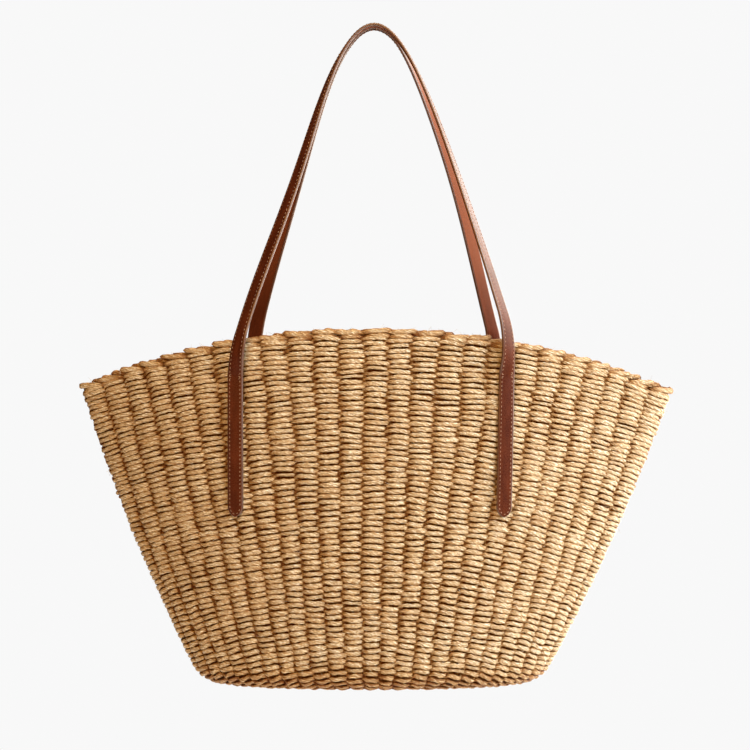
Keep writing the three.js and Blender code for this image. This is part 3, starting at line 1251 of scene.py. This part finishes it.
    def rib_lines(self, reach: float) -> tuple[Array, Array]:
        """Find how the floats of each rib lie at a reach.

        Args:
            reach: Where the row lies.

        Returns:
            Rise of their middles and of one end over the other, by stake.
        """
        mean, arc_swing, arc_length = self.hand.arc
        lean_swing, lean_length = self.hand.lean
        own = STAKES.shares(reach)
        rise = mean + arc_swing * np.sin(reach / arc_length + STAKES.phases[0])
        lean = self.square * FORM.splay(reach, own) * FORM.full_pitch(reach, own, STAKES.count) / 2.0
        return rise, lean + lean_swing * np.sin(reach / lean_length + STAKES.phases[1])

    def dress(self, straw: Material) -> None:
        """Give the pieces their finish and body."""
        for piece in self.pieces:
            attach(piece, (straw,), self.node)


@dataclass
class StakeSet:
    """Flat straw stakes inside the weave, seen only through its gaps.

    Attributes:
        name: Name of the piece.
        node: CAD node that it stands for.
        half_width: Half of a stake's width, as a share of the stake pitch.
        half_thickness: Half of its thickness in millimetres.
        rings: Rings along it.
        places: Points round it.
        lowest: Reach at which it starts.
        top_gap: How far below the wall's top edge it ends.
        tone: Shade of its straw.
        painted_shade_and_edge_paint: Painted shade on it, as it shows only in the shaded gaps.
        pieces: Pieces made so far.
    """

    name: str = "stakes"
    node: str = "woven_wall"
    half_width: float = 0.5
    half_thickness: float = 0.6
    rings: int = 64
    places: int = 6
    lowest: float = 0.4
    top_gap: float = 0.5
    tone: float = 0.42
    # painted shade, as the stakes show only in the shaded gaps
    painted_shade_and_edge_paint: float = 0.85
    pieces: list = field(default_factory=list)

    def build(self) -> list[Piece]:
        """Make all stakes as one piece.

        Returns:
            The piece.
        """
        out, aside = section(self.places)
        rows = []
        for reach in np.linspace(self.lowest, FORM.full_reach - self.top_gap, self.rings):
            shares = STAKES.shares(reach)
            points, along, _, outward = FORM.frames(reach, shares)
            half_width = self.half_width * FORM.full_pitch(reach, shares, STAKES.count)
            ring = points[:, None] - along[:, None] * (half_width[:, None] * aside)[..., None]
            rows.append(ring + outward[:, None] * (self.half_thickness * out)[:, None])
        points = np.stack(rows, axis=1)
        draft = MeshDraft(self.name)
        tone, painted_shade_and_edge_paint = np.full(points.shape[:2], self.tone), np.full(points.shape[:3], self.painted_shade_and_edge_paint)
        draft.add(TubeBatch(points, False, tone, painted_shade_and_edge_paint))
        self.pieces.append(draft.build())
        return self.pieces

    def dress(self, straw: Material) -> None:
        """Give the stakes their finish and body."""
        for piece in self.pieces:
            attach(piece, (straw,), self.node)


@dataclass(frozen=True)
class EndShape:
    """Shape of one kind of folded stake end, in stake pitches and millimetres.

    Attributes:
        half_length: Half of its length along the rim, in stake pitches.
        half_height: Half of its height up the wall.
        half_thickness: Half of its thickness out of the wall.
        out: Distance of its middle from the wall's middle surface.
        lift: Height of its middle above the wall's top edge.
        level_share: Share of the rim's slope that it doesn't follow.
        rings: Rings along it.
        places: Points round it.
    """

    half_length: float
    half_height: float
    half_thickness: float
    out: float
    lift: float
    level_share: float = 0.0
    rings: int = 13
    places: int = 10


@dataclass
class RimBorder:
    """Stake ends folded over and laid along the rim, each lapping the next."""

    name: str = "rim_border_ends"
    node: str = "rim_border"
    top: EndShape = EndShape(0.66, 2.45, 2.35, 1.75, 3.75, level_share=0.6)
    lower: EndShape = EndShape(0.56, 2.05, 1.6, 2.35, 0.35, rings=9, places=8)
    head_powers: tuple = (5.0, 0.5)  # bluntness of an end's head
    tail_powers: tuple = (2.4, 0.7)  # bluntness of its tail
    least_taper: float = 0.16
    head_lift: float = 2.0  # how far the head stands up
    head_in: float = 0.5  # how far it turns in
    head_swell: float = 0.1  # how much higher it is, as a share
    tail_drop: float = 0.8  # how far the tail sinks under its neighbour
    tail_in: float = 1.9
    lump: float = 0.1
    lump_length: float = 9.0
    tone: float = 0.48
    # painted shade on each end's head
    head_shade: float = 0.16
    tone_range: tuple = (0.05, 0.95)
    crease_shade_weights: tuple = (0.4, 0.55, 0.5, 0.3)  # painted shade at the upper and lower edge, narrow ends, tail and hidden side
    most_draw: float = 2.0
    shift_spread: float = 0.05
    length_spread: float = 0.08
    lift_spread: float = 0.45
    tilt_spread: float = 0.035
    out_spread: float = 0.2
    height_spread: float = 0.08
    thickness_spread: float = 0.06
    twist_spread: float = 3.0
    tone_spread: float = 0.12
    seed: int = 23
    pieces: list = field(default_factory=list)

    def build(self) -> list[Piece]:
        """Lay the ends along the outside and the inside of the rim.

        Returns:
            The piece.
        """
        rng = np.random.default_rng(self.seed)
        draft = MeshDraft(self.name)
        for side in (1.0, -1.0):
            for shape in (self.top, self.lower):
                draft.add(self.ends(shape, side, rng))
        self.pieces.append(draft.build())
        return self.pieces

    def ends(self, shape: EndShape, side: float, rng: Random) -> TubeBatch:
        """Lay one row of folded ends, each with its head on the lower side of the slope.

        Args:
            shape: Kind of end.
            side: 1 outside the rim and -1 inside.
            rng: Source of irregularities.

        Returns:
            The ends as tubes.
        """
        count, reach = STAKES.count, FORM.full_reach
        offset = np.linspace(-1.0, 1.0, shape.rings)[None, :]
        lifts, outs, heights, tilts, shifts, lengths = draw(rng, (6, count, 1), self.most_draw)
        middle = STAKES.shares(reach)[:, None] + self.shift_spread * shifts / count
        if side < 0.0:
            middle = middle + 0.5 / count
        half_length = shape.half_length * (1.0 + self.length_spread * lengths)
        points, along, upward, outward = FORM.frames(reach, middle + half_length * offset / count)
        slope = along[:, shape.rings // 2, 2][:, None]
        way = np.linalg.norm(points[:, -1] - points[:, 0], axis=-1)[:, None] / 2.0 * offset

        towards_head = np.where(slope > 0.0, -1.0, 1.0) * offset
        head, tail = smooth(towards_head), np.clip(-towards_head, 0.0, 1.0)
        blunt = (1.0 - np.abs(towards_head) ** self.head_powers[0]) ** self.head_powers[1]
        slim = (1.0 - tail ** self.tail_powers[0]) ** self.tail_powers[1]
        taper = np.maximum(np.where(towards_head > 0.0, blunt, slim), self.least_taper)
        tuck = 1.0 - smooth(1.0 - tail)
        lift = shape.lift + self.lift_spread * lifts
        lift = lift - (shape.level_share * slope + self.tilt_spread * tilts) * way
        lift = lift + self.head_lift * shape.level_share * head - self.tail_drop * tuck
        turned_in = self.tail_in * tuck + self.head_in * smooth(towards_head * 2.0 - 1.0)
        out = side * (shape.out - turned_in + self.out_spread * outs)
        high = shape.half_height * (1.0 + self.height_spread * heights) * (1.0 + self.head_swell * head)
        thick = shape.half_thickness * (1.0 + self.thickness_spread * tilts)

        across, up = section(shape.places)
        twist = 2.0 * math.pi * way / self.lump_length + self.twist_spread * lifts
        lump = 1.0 + self.lump * np.cos(2.0 * turns(shape.places) - twist[..., None])
        away = out[..., None] + (thick * taper)[..., None] * across * lump
        above = lift[..., None] + (high * taper)[..., None] * up * lump
        rings = points[:, :, None] + outward[:, :, None] * away[..., None]
        rings = rings + upward[:, :, None] * above[..., None]
        # Painted shade darkens each head.
        tone = np.clip(self.tone + self.tone_spread * outs - self.head_shade * head, *self.tone_range)
        # Painted shade along the edges, at the narrow ends, under the tail and on the hidden side.
        hidden = np.clip(-side * across, 0.0, 1.0)
        depths = (np.abs(up) ** 4, 1.0 - taper[..., None], tuck[..., None], hidden)
        painted_shade_and_edge_paint = sum(weight * depth for weight, depth in zip(self.crease_shade_weights, depths))
        return TubeBatch(rings, False, tone, np.clip(painted_shade_and_edge_paint, 0.0, 1.0))

    def dress(self, straw: Material) -> None:
        """Give the border its finish and body."""
        for piece in self.pieces:
            attach(piece, (straw,), self.node)


@dataclass
class LooseFibres:
    """Fine straw fibres that have worked loose along the rim and out of the wall."""

    name: str = "loose_fibres"
    rim_count: int = 300
    wall_count: int = 620
    thickness: float = 0.13
    taper: float = 0.6  # how much thinner the tip is, as a share
    lengths: tuple = (2.5, 7.0)
    wall_stretch: float = 1.1  # how much longer the fibres of the wall are
    rim_root: tuple = (4.2, 0.8, 1.5)  # height over the wall's top edge, its spread and the spread outwards
    rim_ways: tuple = (0.7, 0.9, 0.5)  # way up, and spreads along the rim and outwards
    wall_root: float = 3.3  # distance from the wall's middle surface
    wall_ways: tuple = (0.35, 0.25, 0.1)  # spread up the wall, way outwards and its spread
    wall_margin: float = 4.0
    curl: float = 0.22
    tone_range: tuple = (0.4, 0.95)
    rings: int = 5
    places: int = 4
    seed: int = 41
    pieces: list = field(default_factory=list)

    def build(self) -> list[Piece]:
        """Grow all fibres as one piece.

        Returns:
            The piece.
        """
        rng = np.random.default_rng(self.seed)
        draft = MeshDraft(self.name)
        draft.add(self.strands(np.full(self.rim_count, FORM.full_reach), rng, True))
        wall = rng.uniform(FORM.corner_reach, FORM.full_reach - self.wall_margin, self.wall_count)
        draft.add(self.strands(wall, rng, False))
        self.pieces.append(draft.build())
        return self.pieces

    def strands(self, reaches: Array, rng: Random, at_rim: bool) -> TubeBatch:
        """Grow fibres at given reaches.

        Args:
            reaches: Reach of each fibre's root.
            rng: Source of their places, lengths and bends.
            at_rim: Whether they stand up from the rim instead of lying along the wall.

        Returns:
            The fibres as tubes.
        """
        number = len(reaches)
        shares = rng.uniform(0.0, 1.0, number)
        frames = [FORM.frames(reach, np.array([share])) for reach, share in zip(reaches, shares)]
        points, along, upward, outward = (np.concatenate([f[i] for f in frames]) for i in range(4))
        lean = rng.normal(0.0, 1.0, (6, number, 1))
        length = rng.uniform(*self.lengths, (number, 1)) * (1.0 if at_rim else self.wall_stretch)
        if at_rim:
            height, height_spread, out_spread = self.rim_root
            root = points + upward * (height + height_spread * lean[0]) + outward * out_spread * lean[1]
            rise, aside, away = self.rim_ways
            way = upward * rise + along * aside * lean[2] + outward * away * lean[3]
        else:
            root = points + outward * self.wall_root + upward * lean[0]
            rise, away, away_spread = self.wall_ways
            way = along * np.sign(lean[1]) + upward * rise * lean[2]
            way = way + outward * (away + away_spread * np.abs(lean[3]))
        curl = (along * lean[4] + upward * lean[5]) * self.curl
        grown = np.linspace(0.0, 1.0, self.rings)[None, :, None]
        middle = root[:, None] + (unit(way)[:, None] * grown + curl[:, None] * grown**2) * length[:, None]
        ahead = unit(np.gradient(middle, axis=1))
        sideways = unit(np.cross(ahead, UP + 0.01 * along[:, None]))
        radius = self.thickness * (1.0 - self.taper * grown)[..., None]
        rings = round_rings(middle, radius, sideways, np.cross(sideways, ahead), self.places)
        tone = np.repeat(rng.uniform(*self.tone_range, (number, 1)), self.rings, axis=1)
        return TubeBatch(rings, False, tone, np.zeros(rings.shape[:3]))

    def dress(self, straw: Material) -> None:
        """Give the fibres their finish and body."""
        for piece in self.pieces:
            attach(piece, (straw,))


def round_rings(middle: Array, radius: Array, first: Array, second: Array, places: int) -> Array:
    """Put round rings on the lines of thin tubes.

    Args:
        middle: Middles of the rings, by tube and ring.
        radius: Their radius.
        first: Direction at which a ring starts.
        second: Direction a quarter of a turn on.
        places: Points round a ring.

    Returns:
        Points by tube, ring and place.
    """
    turn = turns(places)[:, None]
    spokes = first[:, :, None] * np.cos(turn) + second[:, :, None] * np.sin(turn)
    return (middle[:, :, None] + radius * spokes)[:, :, ::-1]


@dataclass(frozen=True)
class Bend:
    """Bend of a strap at the rim.

    Attributes:
        lean: How far it strays in x from the top of the seam.
        height: Its height above the rim.
        length: Its length to either side.
    """

    lean: float
    height: float
    length: float


@dataclass(frozen=True)
class Leg:
    """One leg of a handle.

    Attributes:
        x: Place at the top of the seam.
        tip_lean: How far its tip strays from there.
        bend: Its bend at the rim.
        turn: Shares of the strap's turn made at either end of the bend.
        hold: How long it holds back the rest of the turn.
        bow: How far the free leg bows towards +X.
    """

    x: float
    tip_lean: float
    bend: Bend
    turn: tuple
    hold: float
    bow: float


@dataclass(frozen=True)
class FreeLine:
    """Line of a strap's free leg, from its bend at the rim to the top of the arch.

    Attributes:
        foot: Point of the bend.
        top: Height of the arch's top.
        side: -1 on the left and 1 on the right.
        shift: Place of the arch's top across the bag.
        spread: Fullness of the arch, as twice the radius of its top.
        depth: Place of the arch's top in depth.
    """

    foot: Array
    top: float
    side: int
    shift: float
    spread: float
    depth: float

    @property
    def drop(self) -> float:
        """Height of the arch above the bend."""
        return self.top - self.foot[2]

    def at(self, fall: float) -> tuple[Array, Array]:
        """Find a place of the line.

        Args:
            fall: How far below the arch's top it lies.

        Returns:
            The point and the way out of the loop.
        """
        reach = abs(self.foot[0] - self.shift)
        flare = (reach**2 - self.spread * self.drop) / self.drop**2
        aside = math.sqrt(self.spread * fall + flare * fall**2)
        steepness = 2.0 * aside / (self.spread + 2.0 * flare * fall)
        depth = lerp(self.foot[1], self.depth, 1.0 - fall / self.drop)
        point = np.array([self.shift + self.side * aside, depth, self.top - fall])
        return point, unit(np.array([self.side * steepness, 0.0, 1.0]))


@dataclass
class StrapLine:
    """Middle line of a strap with its directions and half width at each place."""

    points: Array
    along: Array
    across: Array
    outward: Array
    half: Array


@dataclass
class Handle:
    """A flat leather strap sewn to one face of the bag at both ends.

    Attributes:
        face: Face of the bag that it is sewn to.
        left: Its left leg.
        right: Its right leg.
        standoff: How far its bends stand off the wall's line.
        twist: 1 if its outer side comes out on top of the arch, -1 if its inner side does.
    """

    face: Face
    left: Leg
    right: Leg
    standoff: float
    twist: int
    width: float = 14.0
    thickness: float = 2.8
    tip_length: float = 9.0
    tip_height: float = 151.0
    tip_start: float = 6.0  # degrees of the rounded tip at which the strap starts
    tip_edge: float = 2.2  # half width below which the edges are rounded less
    free_length: float = 30.0  # unsewn length below the rim
    arch_spread: float = 31.0
    arch_shift: float = -0.8
    spacing: float = 15.2  # between the two handles at the arch
    edge_round: float = 1.5
    crown: float = 0.12
    seam_dent: tuple = (0.10, 4.6, 0.55)  # depth, place from the middle and width
    painted_light_length: float = 95.0  # height over the rim at which the inner side gets its full painted light
    tip_places: int = 10
    seam_places: int = 25
    slack_places: int = 8
    bend_places: int = 17
    free_places: int = 76
    face_points: int = 11
    edge_points: int = 7
    ease_rounds: int = 12
    stitch_inset: float = 2.4
    stitch_pitch: float = 3.5
    stitch_length: float = 1.9
    stitch_spread: float = 0.05
    stitch_slant: float = 0.16
    stitch_rise: float = 0.16  # of its middle over the leather
    stitch_sink: float = 0.3  # of its ends into the leather
    stitch_bed: float = 0.02  # how far the row's line lies in the leather
    stitch_tones: tuple = (0.5, 0.2)  # mean and spread
    thread_radius: float = 0.24
    thread_end: float = 0.35  # thickness at a stitch's ends, as a share
    thread_points: int = 6
    tip_stitch_steps: int = 15
    tack_shifts: tuple = (-2.7, -0.9, 0.9)  # places along the strap from where it leaves the wall
    tack_ends: tuple = (-2.2, 0.9)  # places across the strap from the row of stitches
    seed: int = 31
    pieces: list = field(default_factory=list)
    threads: list = field(default_factory=list)

    @property
    def name(self) -> str:
        """Name of the handle's CAD node."""
        return f"handle_{self.face.name.lower()}"

    def seam(self, leg: Leg, off: float, free: float) -> list[tuple]:
        """Lay the sewn part of a leg on the front of the bag.

        Args:
            leg: The leg to lay.
            off: Distance of the strap's middle from the wall's.
            free: Height at which it leaves the wall.

        Returns:
            Places as point, outward direction and half width.
        """
        half = self.width / 2
        angles = np.radians(np.linspace(self.tip_start, 90.0, self.tip_places))
        heights = self.tip_height + self.tip_length * (1.0 - np.cos(angles))
        straight = np.linspace(self.tip_height + self.tip_length, free, self.seam_places)[1:]
        halves = [*(half * np.sin(angles)), *np.full(len(straight), half)]
        places = []
        for height, width in zip([*heights, *straight], halves):
            lean = leg.tip_lean * (1.0 - (height - self.tip_height) / (free - self.tip_height))
            places.append((*FORM.on_front(leg.x + lean, height, off), width))
        return places

    def leg(self, side: int, leg: Leg) -> list[tuple]:
        """Lay one half of the strap on the front of the bag, up to the top of the arch.

        Args:
            side: -1 on the left and 1 on the right.
            leg: The leg to lay.

        Returns:
            Places as point, outward direction and half width.
        """
        off = FORM.rib_thickness / 2 + FORM.gap + self.thickness / 2
        rim = float(FORM.rim_height(leg.x))
        half, bend = self.width / 2, leg.bend
        places = self.seam(leg, off, rim - self.free_length)
        foot, facing = FORM.on_front(leg.x + bend.lean, rim + bend.height, off + self.standoff)
        top = FORM.hang_height + self.thickness / 2
        line = FreeLine(foot, top, side, self.arch_shift, self.arch_spread, -self.spacing / 2)

        def turned(outward: Array, share: float) -> Array:
            """Turn a share of the way from the wall's direction to the loop's."""
            return unit(lerp(facing, self.twist * outward, share))

        below = places[-1][0]
        start = lerp(foot, below, bend.length / np.linalg.norm(below - foot))
        leg_start, outward = line.at(line.drop - bend.length)
        for share in np.linspace(0.0, 1.0, self.slack_places)[1:-1]:
            places.append((lerp(below, start, share), turned(outward, leg.turn[0] * share), half))
        for share in np.linspace(0.0, 1.0, self.bend_places):
            curve = lerp(lerp(start, foot, share), lerp(foot, leg_start, share), share)
            places.append((curve, turned(outward, lerp(*leg.turn, share)), half))
        for root in np.linspace(math.sqrt(1.0 - bend.length / line.drop), 0.0, self.free_places)[1:]:
            point, outward = line.at(line.drop * root**2)
            climb = (point[2] - leg_start[2]) / (top - leg_start[2])
            point[0] += leg.bow * math.sin(math.pi * climb) ** 2
            places.append((point, turned(outward, lerp(leg.turn[1], 1.0, climb**leg.hold)), half))
        return places

    def line(self) -> StrapLine:
        """Lay the whole strap, up one leg, over the arch and down the other.

        Returns:
            Its middle line, on its own face of the bag.
        """
        places = self.leg(-1, self.left) + self.leg(1, self.right)[-2::-1]
        points, facing, half = (np.array([p[i] for p in places]) for i in range(3))
        for _ in range(self.ease_rounds):
            facing[1:-1] = unit(facing[:-2] + 2.0 * facing[1:-1] + facing[2:])
        along = unit(np.gradient(points, axis=0))
        across = unit(np.cross(along, facing))
        line = StrapLine(points, along, across, np.cross(across, along), half)
        if self.face is Face.BACK:
            for values in (line.points, line.along, line.across, line.outward):
                values[:, 1] *= -1.0
        return line

    def profile(self) -> tuple[Array, Array, Array]:
        """Shape the strap's section: outer side, edge, inner side and other edge.

        Returns:
            Place across the strap from its edge line as a share of the half width and as a
            fixed part, the height out of the strap's middle, and how much edge paint shows.
        """
        half = self.thickness / 2
        depth, place, width = self.seam_dent
        flat = np.linspace(1.0, -1.0, self.face_points)
        dent = depth * np.exp(-(((np.abs(flat) * self.width / 2 - place) / width) ** 2))
        face = half + self.crown * (1.0 - flat**2) - dent
        rounding = np.radians(np.linspace(90.0, -90.0, self.edge_points + 2)[1:-1])
        edge_out = half * np.sin(rounding)
        edge_in = self.edge_round * (1.0 - np.cos(rounding))
        bare, painted = np.zeros(self.face_points), np.ones(self.edge_points)
        scale = np.concatenate([flat, -painted, flat[::-1], painted])
        side = self.edge_round * flat
        fixed = np.concatenate([-side, edge_in, -side[::-1], -edge_in[::-1]])
        out = np.concatenate([face, edge_out, -face[::-1], edge_out[::-1]])
        return np.stack([scale, fixed], axis=1), out, np.concatenate([bare, painted, bare, painted])

    def build(self) -> list[Piece]:
        """Make the strap and its stitches.

        Returns:
            The strap and the stitches.
        """
        line = self.line()
        spots, out, paint = self.profile()
        rounded = np.minimum(1.0, line.half / self.tip_edge)
        aside = line.half[:, None] * spots[:, 0] + rounded[:, None] * spots[:, 1]
        rings = line.points[:, None] + line.across[:, None] * aside[..., None]
        rings = rings + line.outward[:, None] * out[:, None]
        places = len(out)
        inner_first = self.face_points + self.edge_points
        if self.face is Face.FRONT:
            rings, paint = rings[:, ::-1], paint[::-1]
            inner_first = places - inner_first - self.face_points
        above_rim = line.points[:, 2] - FORM.rim_height(line.points[:, 0])
        # Share of painted light on the inner side, paler towards the arch.
        tone = smooth(above_rim / self.painted_light_length)
        shown = np.broadcast_to(paint, rings.shape[:2])
        draft = MeshDraft(f"{self.name}_strap")
        draft.add(TubeBatch(rings[None], False, tone[None], shown[None]))
        strap = draft.build()
        around = np.arange(len(strap.data.polygons)) % places
        inner = (around >= inner_first) & (around < inner_first + self.face_points - 1)
        inner[places * (len(rings) - 1):] = False  # the end caps
        strap.data.polygons.foreach_set("material_index", inner.astype(np.int32))
        self.pieces.append(strap)
        self.threads.append(self.stitches(line))
        return self.pieces + self.threads

    def stitches(self, line: StrapLine) -> Piece:
        """Sew the strap along both edges and round its tips, with tacks where it leaves the wall.

        Args:
            line: Middle line of the strap.

        Returns:
            All stitches as one object.
        """
        rng = np.random.default_rng(self.seed + self.face.value)
        draft = MeshDraft(f"{self.name}_stitches")
        full = slice(self.tip_places - 1, len(line.points) - self.tip_places + 1)
        points = line.points + line.outward * (self.thickness / 2 - self.stitch_bed)
        aside = self.width / 2 - self.stitch_inset
        bend = np.linspace(0.0, math.pi, self.tip_stitch_steps)[1:-1, None]
        path, out, across = [], [], []
        for edge, step in ((1.0, 1), (-1.0, -1)):
            rows = [v[full][::step] for v in (points, line.across, line.outward, line.along)]
            middles, sideways, outward, along = rows
            sweep = edge * aside * np.cos(bend) * sideways[-1]
            ahead = (self.tip_length - self.stitch_inset) * np.sin(bend) * step * along[-1]
            path += [middles + edge * aside * sideways, middles[-1] + sweep + ahead]
            out += [outward, np.repeat(outward[-1:], len(bend), axis=0)]
            across += [sideways, np.repeat(sideways[-1:], len(bend), axis=0)]
        draft.add(self.row_of_stitches(*(np.concatenate(v) for v in (path, out, across)), rng))
        free = self.tip_places + self.seam_places - 2
        for middle in (free, len(points) - 1 - free):
            outward, along = (np.repeat(v[middle][None], 2, axis=0) for v in (line.outward, line.along))
            for shift in self.tack_shifts:
                spot = points[middle] + line.along[middle] * shift
                for edge in (1.0, -1.0):
                    ends = spot + np.outer(edge * (aside + np.array(self.tack_ends)), line.across[middle])
                    draft.add(self.row_of_stitches(ends, outward, along, rng))
        return draft.build()

    def row_of_stitches(self, path: Array, out: Array, across: Array, rng: Random) -> TubeBatch:
        """Sew one row.

        Args:
            path: Line of the row.
            out: Outward directions along it.
            across: Directions in which the stitches slant, along it.
            rng: Source of irregularities.

        Returns:
            The stitches as short tubes.
        """
        run = run_along(path)
        count = max(1, int(run[-1] / self.stitch_pitch))
        start = (np.arange(count) + 0.5) * run[-1] / count
        local = np.linspace(-0.5, 0.5, self.thread_points)
        lengths = self.stitch_length * (1.0 + self.stitch_spread * rng.normal(0.0, 1.0, (count, 1)))
        at = start[:, None] + local * lengths

        def along_row(values: Array) -> Array:
            """Read values at the places of the stitches."""
            return np.stack([np.interp(at, run, values[:, i]) for i in range(3)], axis=-1)

        centre, outward, sideways = along_row(path), unit(along_row(out)), unit(along_row(across))
        arch = 1.0 - (2.0 * local) ** 4
        lift = lerp(-self.stitch_sink, self.stitch_rise, arch)[:, None]
        centre = centre + outward * lift + sideways * (self.stitch_slant * local)[:, None]
        ahead = unit(np.gradient(centre, axis=1))
        radius = (self.thread_radius * lerp(self.thread_end, 1.0, arch))[:, None, None]
        rings = round_rings(centre, radius, outward, unit(np.cross(ahead, outward)), self.thread_points)
        mean, spread = self.stitch_tones
        tone = np.clip(mean + spread * rng.normal(0.0, 1.0, (count, 1)), 0.0, 1.0)
        tone = np.repeat(tone, self.thread_points, axis=1)
        return TubeBatch(rings, False, tone, np.zeros(rings.shape[:3]))

    def dress(self, outer_side: Material, inner_side: Material, thread: Material) -> None:
        """Give the strap's two sides and its stitches their finishes and body.

        Args:
            outer_side: Finish of the side turned out of the bag, and of the edges.
            inner_side: Finish of the side turned to the bag.
            thread: Finish of the stitches.
        """
        for piece in self.pieces:
            attach(piece, (outer_side, inner_side), self.name)
        for piece in self.threads:
            attach(piece, (thread,), self.name)


@dataclass(frozen=True)
class SoftLight:
    """A square area light aimed at the bag, in metres and watts."""

    name: str
    place: tuple
    size: float
    power: float
    colour: tuple


@dataclass
class Studio:
    """Camera level with the bag, soft light mainly from the right, and a pale floor below."""

    view_distance: float = 2.0
    view_height: float = 272.4
    pixels_per_mm: float = 1.131
    picture_width: float = 750.0
    sensor: float = 36.0
    aim: tuple = (0.0, 0.0, -0.35)
    floor_drop: float = 0.42
    floor_radius: float = 1.9
    floor_places: int = 96
    floor_rings: int = 13
    floor_middle: float = 0.001  # radius of the innermost ring, as a share
    backdrop: float = 0.94
    ambient: float = 0.075
    ambient_colour: tuple = (1.0, 0.70, 0.40)
    lights: tuple = (
        SoftLight("key_right", (1.85, -1.2, 0.8), 2.1, 94.0, (0.82, 1.02, 1.20)),
        SoftLight("edge_right", (1.85, 1.0, 0.35), 3.4, 225.0, (1.0, 0.93, 0.84)),
        SoftLight("fill_front", (-0.6, -2.4, 0.7), 1.5, 37.0, (1.0, 0.54, 0.12)),
        SoftLight("top", (0.1, -0.6, 1.5), 1.0, 24.0, (1.0, 0.88, 0.62)),
    )

    def build(self) -> None:
        """Set up camera, lights, background and floor."""
        scene = bpy.context.scene
        scene.view_settings.view_transform = "Standard"
        camera = place_object("camera", bpy.data.cameras.new("camera"))
        camera.location = (0.0, -self.view_distance, (self.view_height - FORM.hang_height) * MM)
        camera.rotation_euler = (math.pi / 2.0, 0.0, 0.0)
        camera.data.sensor_width = self.sensor
        focal = self.pixels_per_mm * self.view_distance / MM
        camera.data.lens = focal * self.sensor / self.picture_width
        scene.camera = camera
        for light in self.lights:
            lamp = bpy.data.lights.new(light.name, "AREA")
            lamp.size, lamp.energy, lamp.color = light.size, light.power, light.colour
            holder = place_object(light.name, lamp)
            holder.location = light.place
            holder.rotation_euler = (Vector(self.aim) - holder.location).to_track_quat("-Z", "Y").to_euler()
        self.sky()
        self.floor()

    def sky(self) -> None:
        """Surround the bag with white paper, which lights it more dimly and warmly than it looks."""
        world = bpy.data.worlds.new("studio")
        bpy.context.scene.world = world
        world.use_nodes = True
        nodes, links = world.node_tree.nodes, world.node_tree.links
        room, paper = nodes["Background"], nodes.new("ShaderNodeBackground")
        room.inputs["Color"].default_value = (*self.ambient_colour, 1.0)
        room.inputs["Strength"].default_value = self.ambient
        paper.inputs["Color"].default_value = (1.0, 1.0, 1.0, 1.0)
        paper.inputs["Strength"].default_value = self.backdrop
        seen = nodes.new("ShaderNodeMixShader")
        links.new(nodes.new("ShaderNodeLightPath").outputs["Is Camera Ray"], seen.inputs[0])
        links.new(room.outputs[0], seen.inputs[1])
        links.new(paper.outputs[0], seen.inputs[2])
        links.new(seen.outputs[0], nodes["World Output"].inputs["Surface"])

    def floor(self) -> None:
        """Lay a round pale floor well below the hanging bag."""
        places, turn = self.floor_places, turns(self.floor_places)
        rings = np.linspace(self.floor_middle, 1.0, self.floor_rings) * self.floor_radius
        x, y = rings[:, None] * np.cos(turn), rings[:, None] * np.sin(turn)
        level = np.full_like(x, -FORM.hang_height * MM - self.floor_drop)
        points = np.stack([x, y, level], axis=-1).reshape(-1, 3)
        ring, place = np.meshgrid(np.arange(self.floor_rings - 1), np.arange(places), indexing="ij")
        here, ahead = ring * places + place, ring * places + (place + 1) % places
        quads = np.stack([here, here + places, ahead + places, ahead], axis=-1)
        mesh = quad_mesh("floor", points, quads.reshape(-1, 4))
        mesh.materials.append(FloorFinish("studio_paper").material())
        place_object("floor", mesh)


def report(pieces: list[Piece]) -> None:
    """Log each piece with its number of triangles."""
    for piece in pieces:
        LOG.info("%s: %d triangles", piece.name, 2 * len(piece.data.polygons))


def main() -> None:
    """Build and dress the bag piece by piece, then set up the studio."""
    logging.basicConfig(level=logging.INFO, format="%(name)s %(message)s")
    straw = StrawFinish("twisted_straw").material()
    border_straw = StrawFinish("folded_straw", shade=0.07).material()
    leather = LeatherFinish("saddle_leather").material()
    # The inner side carries painted light, paler towards the arch.
    inside = LeatherFinish("saddle_leather_inside_painted_light", painted_light_share=1.0, gloss=0.06, roughness=(0.3, 0.42))
    leather_inside_painted_light = inside.material()
    thread = ThreadFinish("waxed_thread").material()

    wall = Weave("weave", FORM.flat_reach, FORM.full_reach, "woven_wall", bands=4, tighten=0.033)
    base = Weave(
        "base_weave", -1.0, FORM.flat_reach, "woven_base",  # its first row closes the middle line
        outer_steps=(-0.5, -0.3, 0.0, 0.3), inner_steps=(-0.5, -0.2, 0.2), places=6, seed=7,
    )
    finishes = (straw, straw, straw, border_straw, straw)
    for part, finish in zip((wall, base, StakeSet(), RimBorder(), LooseFibres()), finishes):
        report(part.build())
        part.dress(finish)

    front = Handle(
        Face.FRONT,
        Leg(x=-118.3, tip_lean=0.6, bend=Bend(3.7, -4.0, 12.0), turn=(0.24, 0.45), hold=2.8, bow=5.7),
        Leg(x=111.4, tip_lean=-2.8, bend=Bend(1.4, 4.0, 22.0), turn=(0.33, 0.55), hold=1.0, bow=-0.6),
        standoff=7.0,
        twist=1,
    )
    back = Handle(
        Face.BACK,
        Leg(x=-110.0, tip_lean=0.0, bend=Bend(1.5, 4.0, 22.0), turn=(0.2, 0.37), hold=1.1, bow=3.1),
        Leg(x=106.5, tip_lean=0.0, bend=Bend(0.8, 0.0, 14.0), turn=(0.16, 0.47), hold=4.8, bow=2.4),
        standoff=6.0,
        twist=-1,
    )
    for handle in (front, back):
        report(handle.build())
        handle.dress(leather, leather_inside_painted_light, thread)
    Studio().build()


if __name__ == "__main__":
    main()
